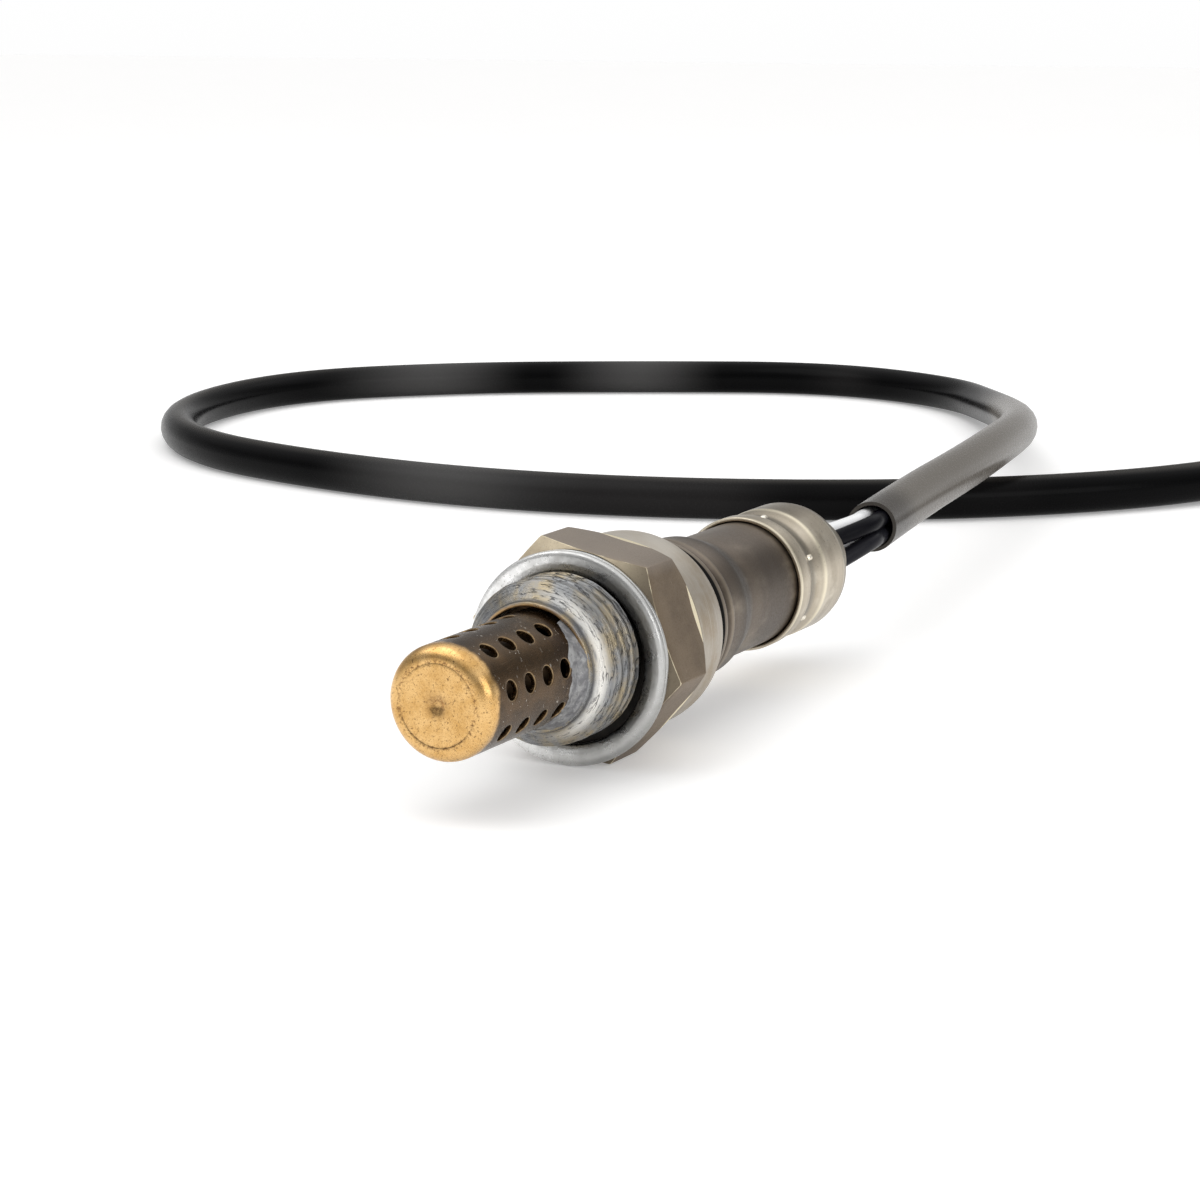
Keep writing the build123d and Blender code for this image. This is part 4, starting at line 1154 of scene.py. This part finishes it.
def lead_mouth():
    """The cut end of the lead's sleeve: its wall and the dark bore behind it."""
    bore = [
        (LEAD_RADIUS - 0.01, 0.0),
        (LEAD_BORE + 0.06, -0.02),
        (LEAD_BORE, 0.06),
        (LEAD_BORE, 5.0),
        (LEAD_BORE, 14.0),
    ]
    verts = []
    for radius, depth in bore:
        for segment in range(MOUTH_SEGMENTS):
            angle = 2 * pi * segment / MOUTH_SEGMENTS
            point = LEAD_START + LEAD_WAY * depth + (LEAD_SIDE * sin(angle) + LEAD_UP * cos(angle)) * radius
            verts.append(tuple(point))
    faces = grid(len(bore), MOUTH_SEGMENTS, columns_close=True)
    piece = add_mesh("lead_mouth", "lead", verts, faces, sharp=50)
    return piece


def lead():
    """The lead's sleeve, its cut mouth and its four wires."""
    sleeve = curve("lead_tube", "lead", LEAD_POINTS, LEAD_RADIUS)
    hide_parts("lead_sleeve")
    pieces = [lead_mouth()]
    for name, (side, up, look, slot_name) in WIRES.items():
        mouth = LEAD_START + LEAD_SIDE * (side * -BUNDLE_SPREAD) + LEAD_UP * (up * BUNDLE_SPREAD)
        x = side * WIRE_SPREAD
        z = up * WIRE_SPREAD
        route = [(x, place, z) for place in (WIRE_START, CAP_END, CAP_END + WIRE_STRAIGHT)]
        route += [tuple(mouth + LEAD_WAY * depth) for depth in (-WIRE_LEAD_IN, 0, WIRE_DEPTH)]
        wire = curve(name + "_line", look, route, WIRE_RADIUS)
        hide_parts(name)
        pieces.append(wire)
    pieces += [
        "connector_boot",
        "connector_housing",
        "wire_seal",
        "rear_cover",
        "terminal_pins",
        "terminal_lock",
        "face_seal",
    ]


lead()


# ---------------------------------------------------------------- floor, light and background
FLOOR_GLOW = 0.26
FLOOR_GAP = 0.05
FLOOR_HALF = 3.0  # metres
# The studio around the object: brightness by height, from straight down at 0 to straight up at 1.
STUDIO_LEVELS = ((0.0, 0.6), (0.5, 1.0), (0.55, 0.65), (0.66, 0.24), (0.82, 0.75), (1.0, 1.3))
# Each light's place and target in metres, its width and height, and its power.
LIGHTS = {
    "key": ((-0.35, -0.25, 0.75), (0, 0, 0), 0.7, 0.7, 2.0),
    "side": ((0.75, -0.20, 0.30), (0, 0, 0), 0.7, 0.35, 1.6),
    "back": ((0.25, 0.75, 0.6), (0, 0.05, 0), 0.8, 0.35, 0.4),
}


def background_ray(look):
    """1 for the rays that show the background: the camera's own and those seen in metal and through glass."""
    seen = look.new("ShaderNodeLightPath").outputs
    shown = look.larger(seen["Is Camera Ray"], seen["Is Glossy Ray"])
    return look.larger(shown, seen["Is Transmission Ray"])


def floor():
    """The white table, which glows a little for the background's rays alone."""
    look = Look("floor", Metallic=0.0, Specular_IOR_Level=0.1, Roughness=0.8, Emission_Color=(1, 1, 1, 1))
    white = look.shade((0.885, 0.88, 0.875), look.noise(0.02, 3, 0.5), 0.3, 0.7, (0.895, 0.89, 0.885))
    glow = look.times(background_ray(look), FLOOR_GLOW)
    look.fill(look.shader, Base_Color=white, Emission_Strength=glow)
    z = (FLOOR_Z - FLOOR_GAP) * MM
    corners = [(x * FLOOR_HALF, y * FLOOR_HALF, z) for x, y in ((-1, -1), (1, -1), (1, 1), (-1, 1))]
    mesh = bpy.data.meshes.new("floor")
    mesh.from_pydata(corners, [], [(0, 1, 2, 3)])
    mesh.materials.append(look.material)
    piece = add_object("floor", mesh)


def area_light(name, place, target, width, height, power):
    """A soft rectangular light that faces its target."""
    data = bpy.data.lights.new(name, "AREA")
    data.shape = "RECTANGLE"
    data.size = width
    data.size_y = height
    data.energy = power
    light = add_object(name, data)
    light.location = place
    light.rotation_euler = (Vector(target) - Vector(place)).to_track_quat("-Z", "Y").to_euler()


def studio():
    """The world as a grey studio that is brighter near the floor and overhead, and three soft lights."""
    world = bpy.data.worlds.new("studio")
    bpy.context.scene.world = world
    world.use_nodes = True
    graph = Graph(world.node_tree)
    place = graph.new("ShaderNodeTexCoord").outputs["Generated"]
    split = graph.new("ShaderNodeSeparateXYZ", Vector=place)
    height = graph.new("ShaderNodeMapRange", Value=split.outputs["Z"], From_Min=-1, From_Max=1)
    ramp = graph.new("ShaderNodeValToRGB", Fac=height.outputs["Result"])
    graph.fill(graph.tree.nodes["Background"], Color=ramp.outputs["Color"], Strength=1.0)
    elements = ramp.color_ramp.elements
    while len(elements) < len(STUDIO_LEVELS):
        elements.new(0.5)
    for element, (position, level) in zip(elements, STUDIO_LEVELS):
        element.position = position
        element.color = (level, level, level, 1)
    for name, settings in LIGHTS.items():
        area_light(name, *settings)
    bpy.context.scene.view_settings.view_transform = "Standard"


floor()
studio()
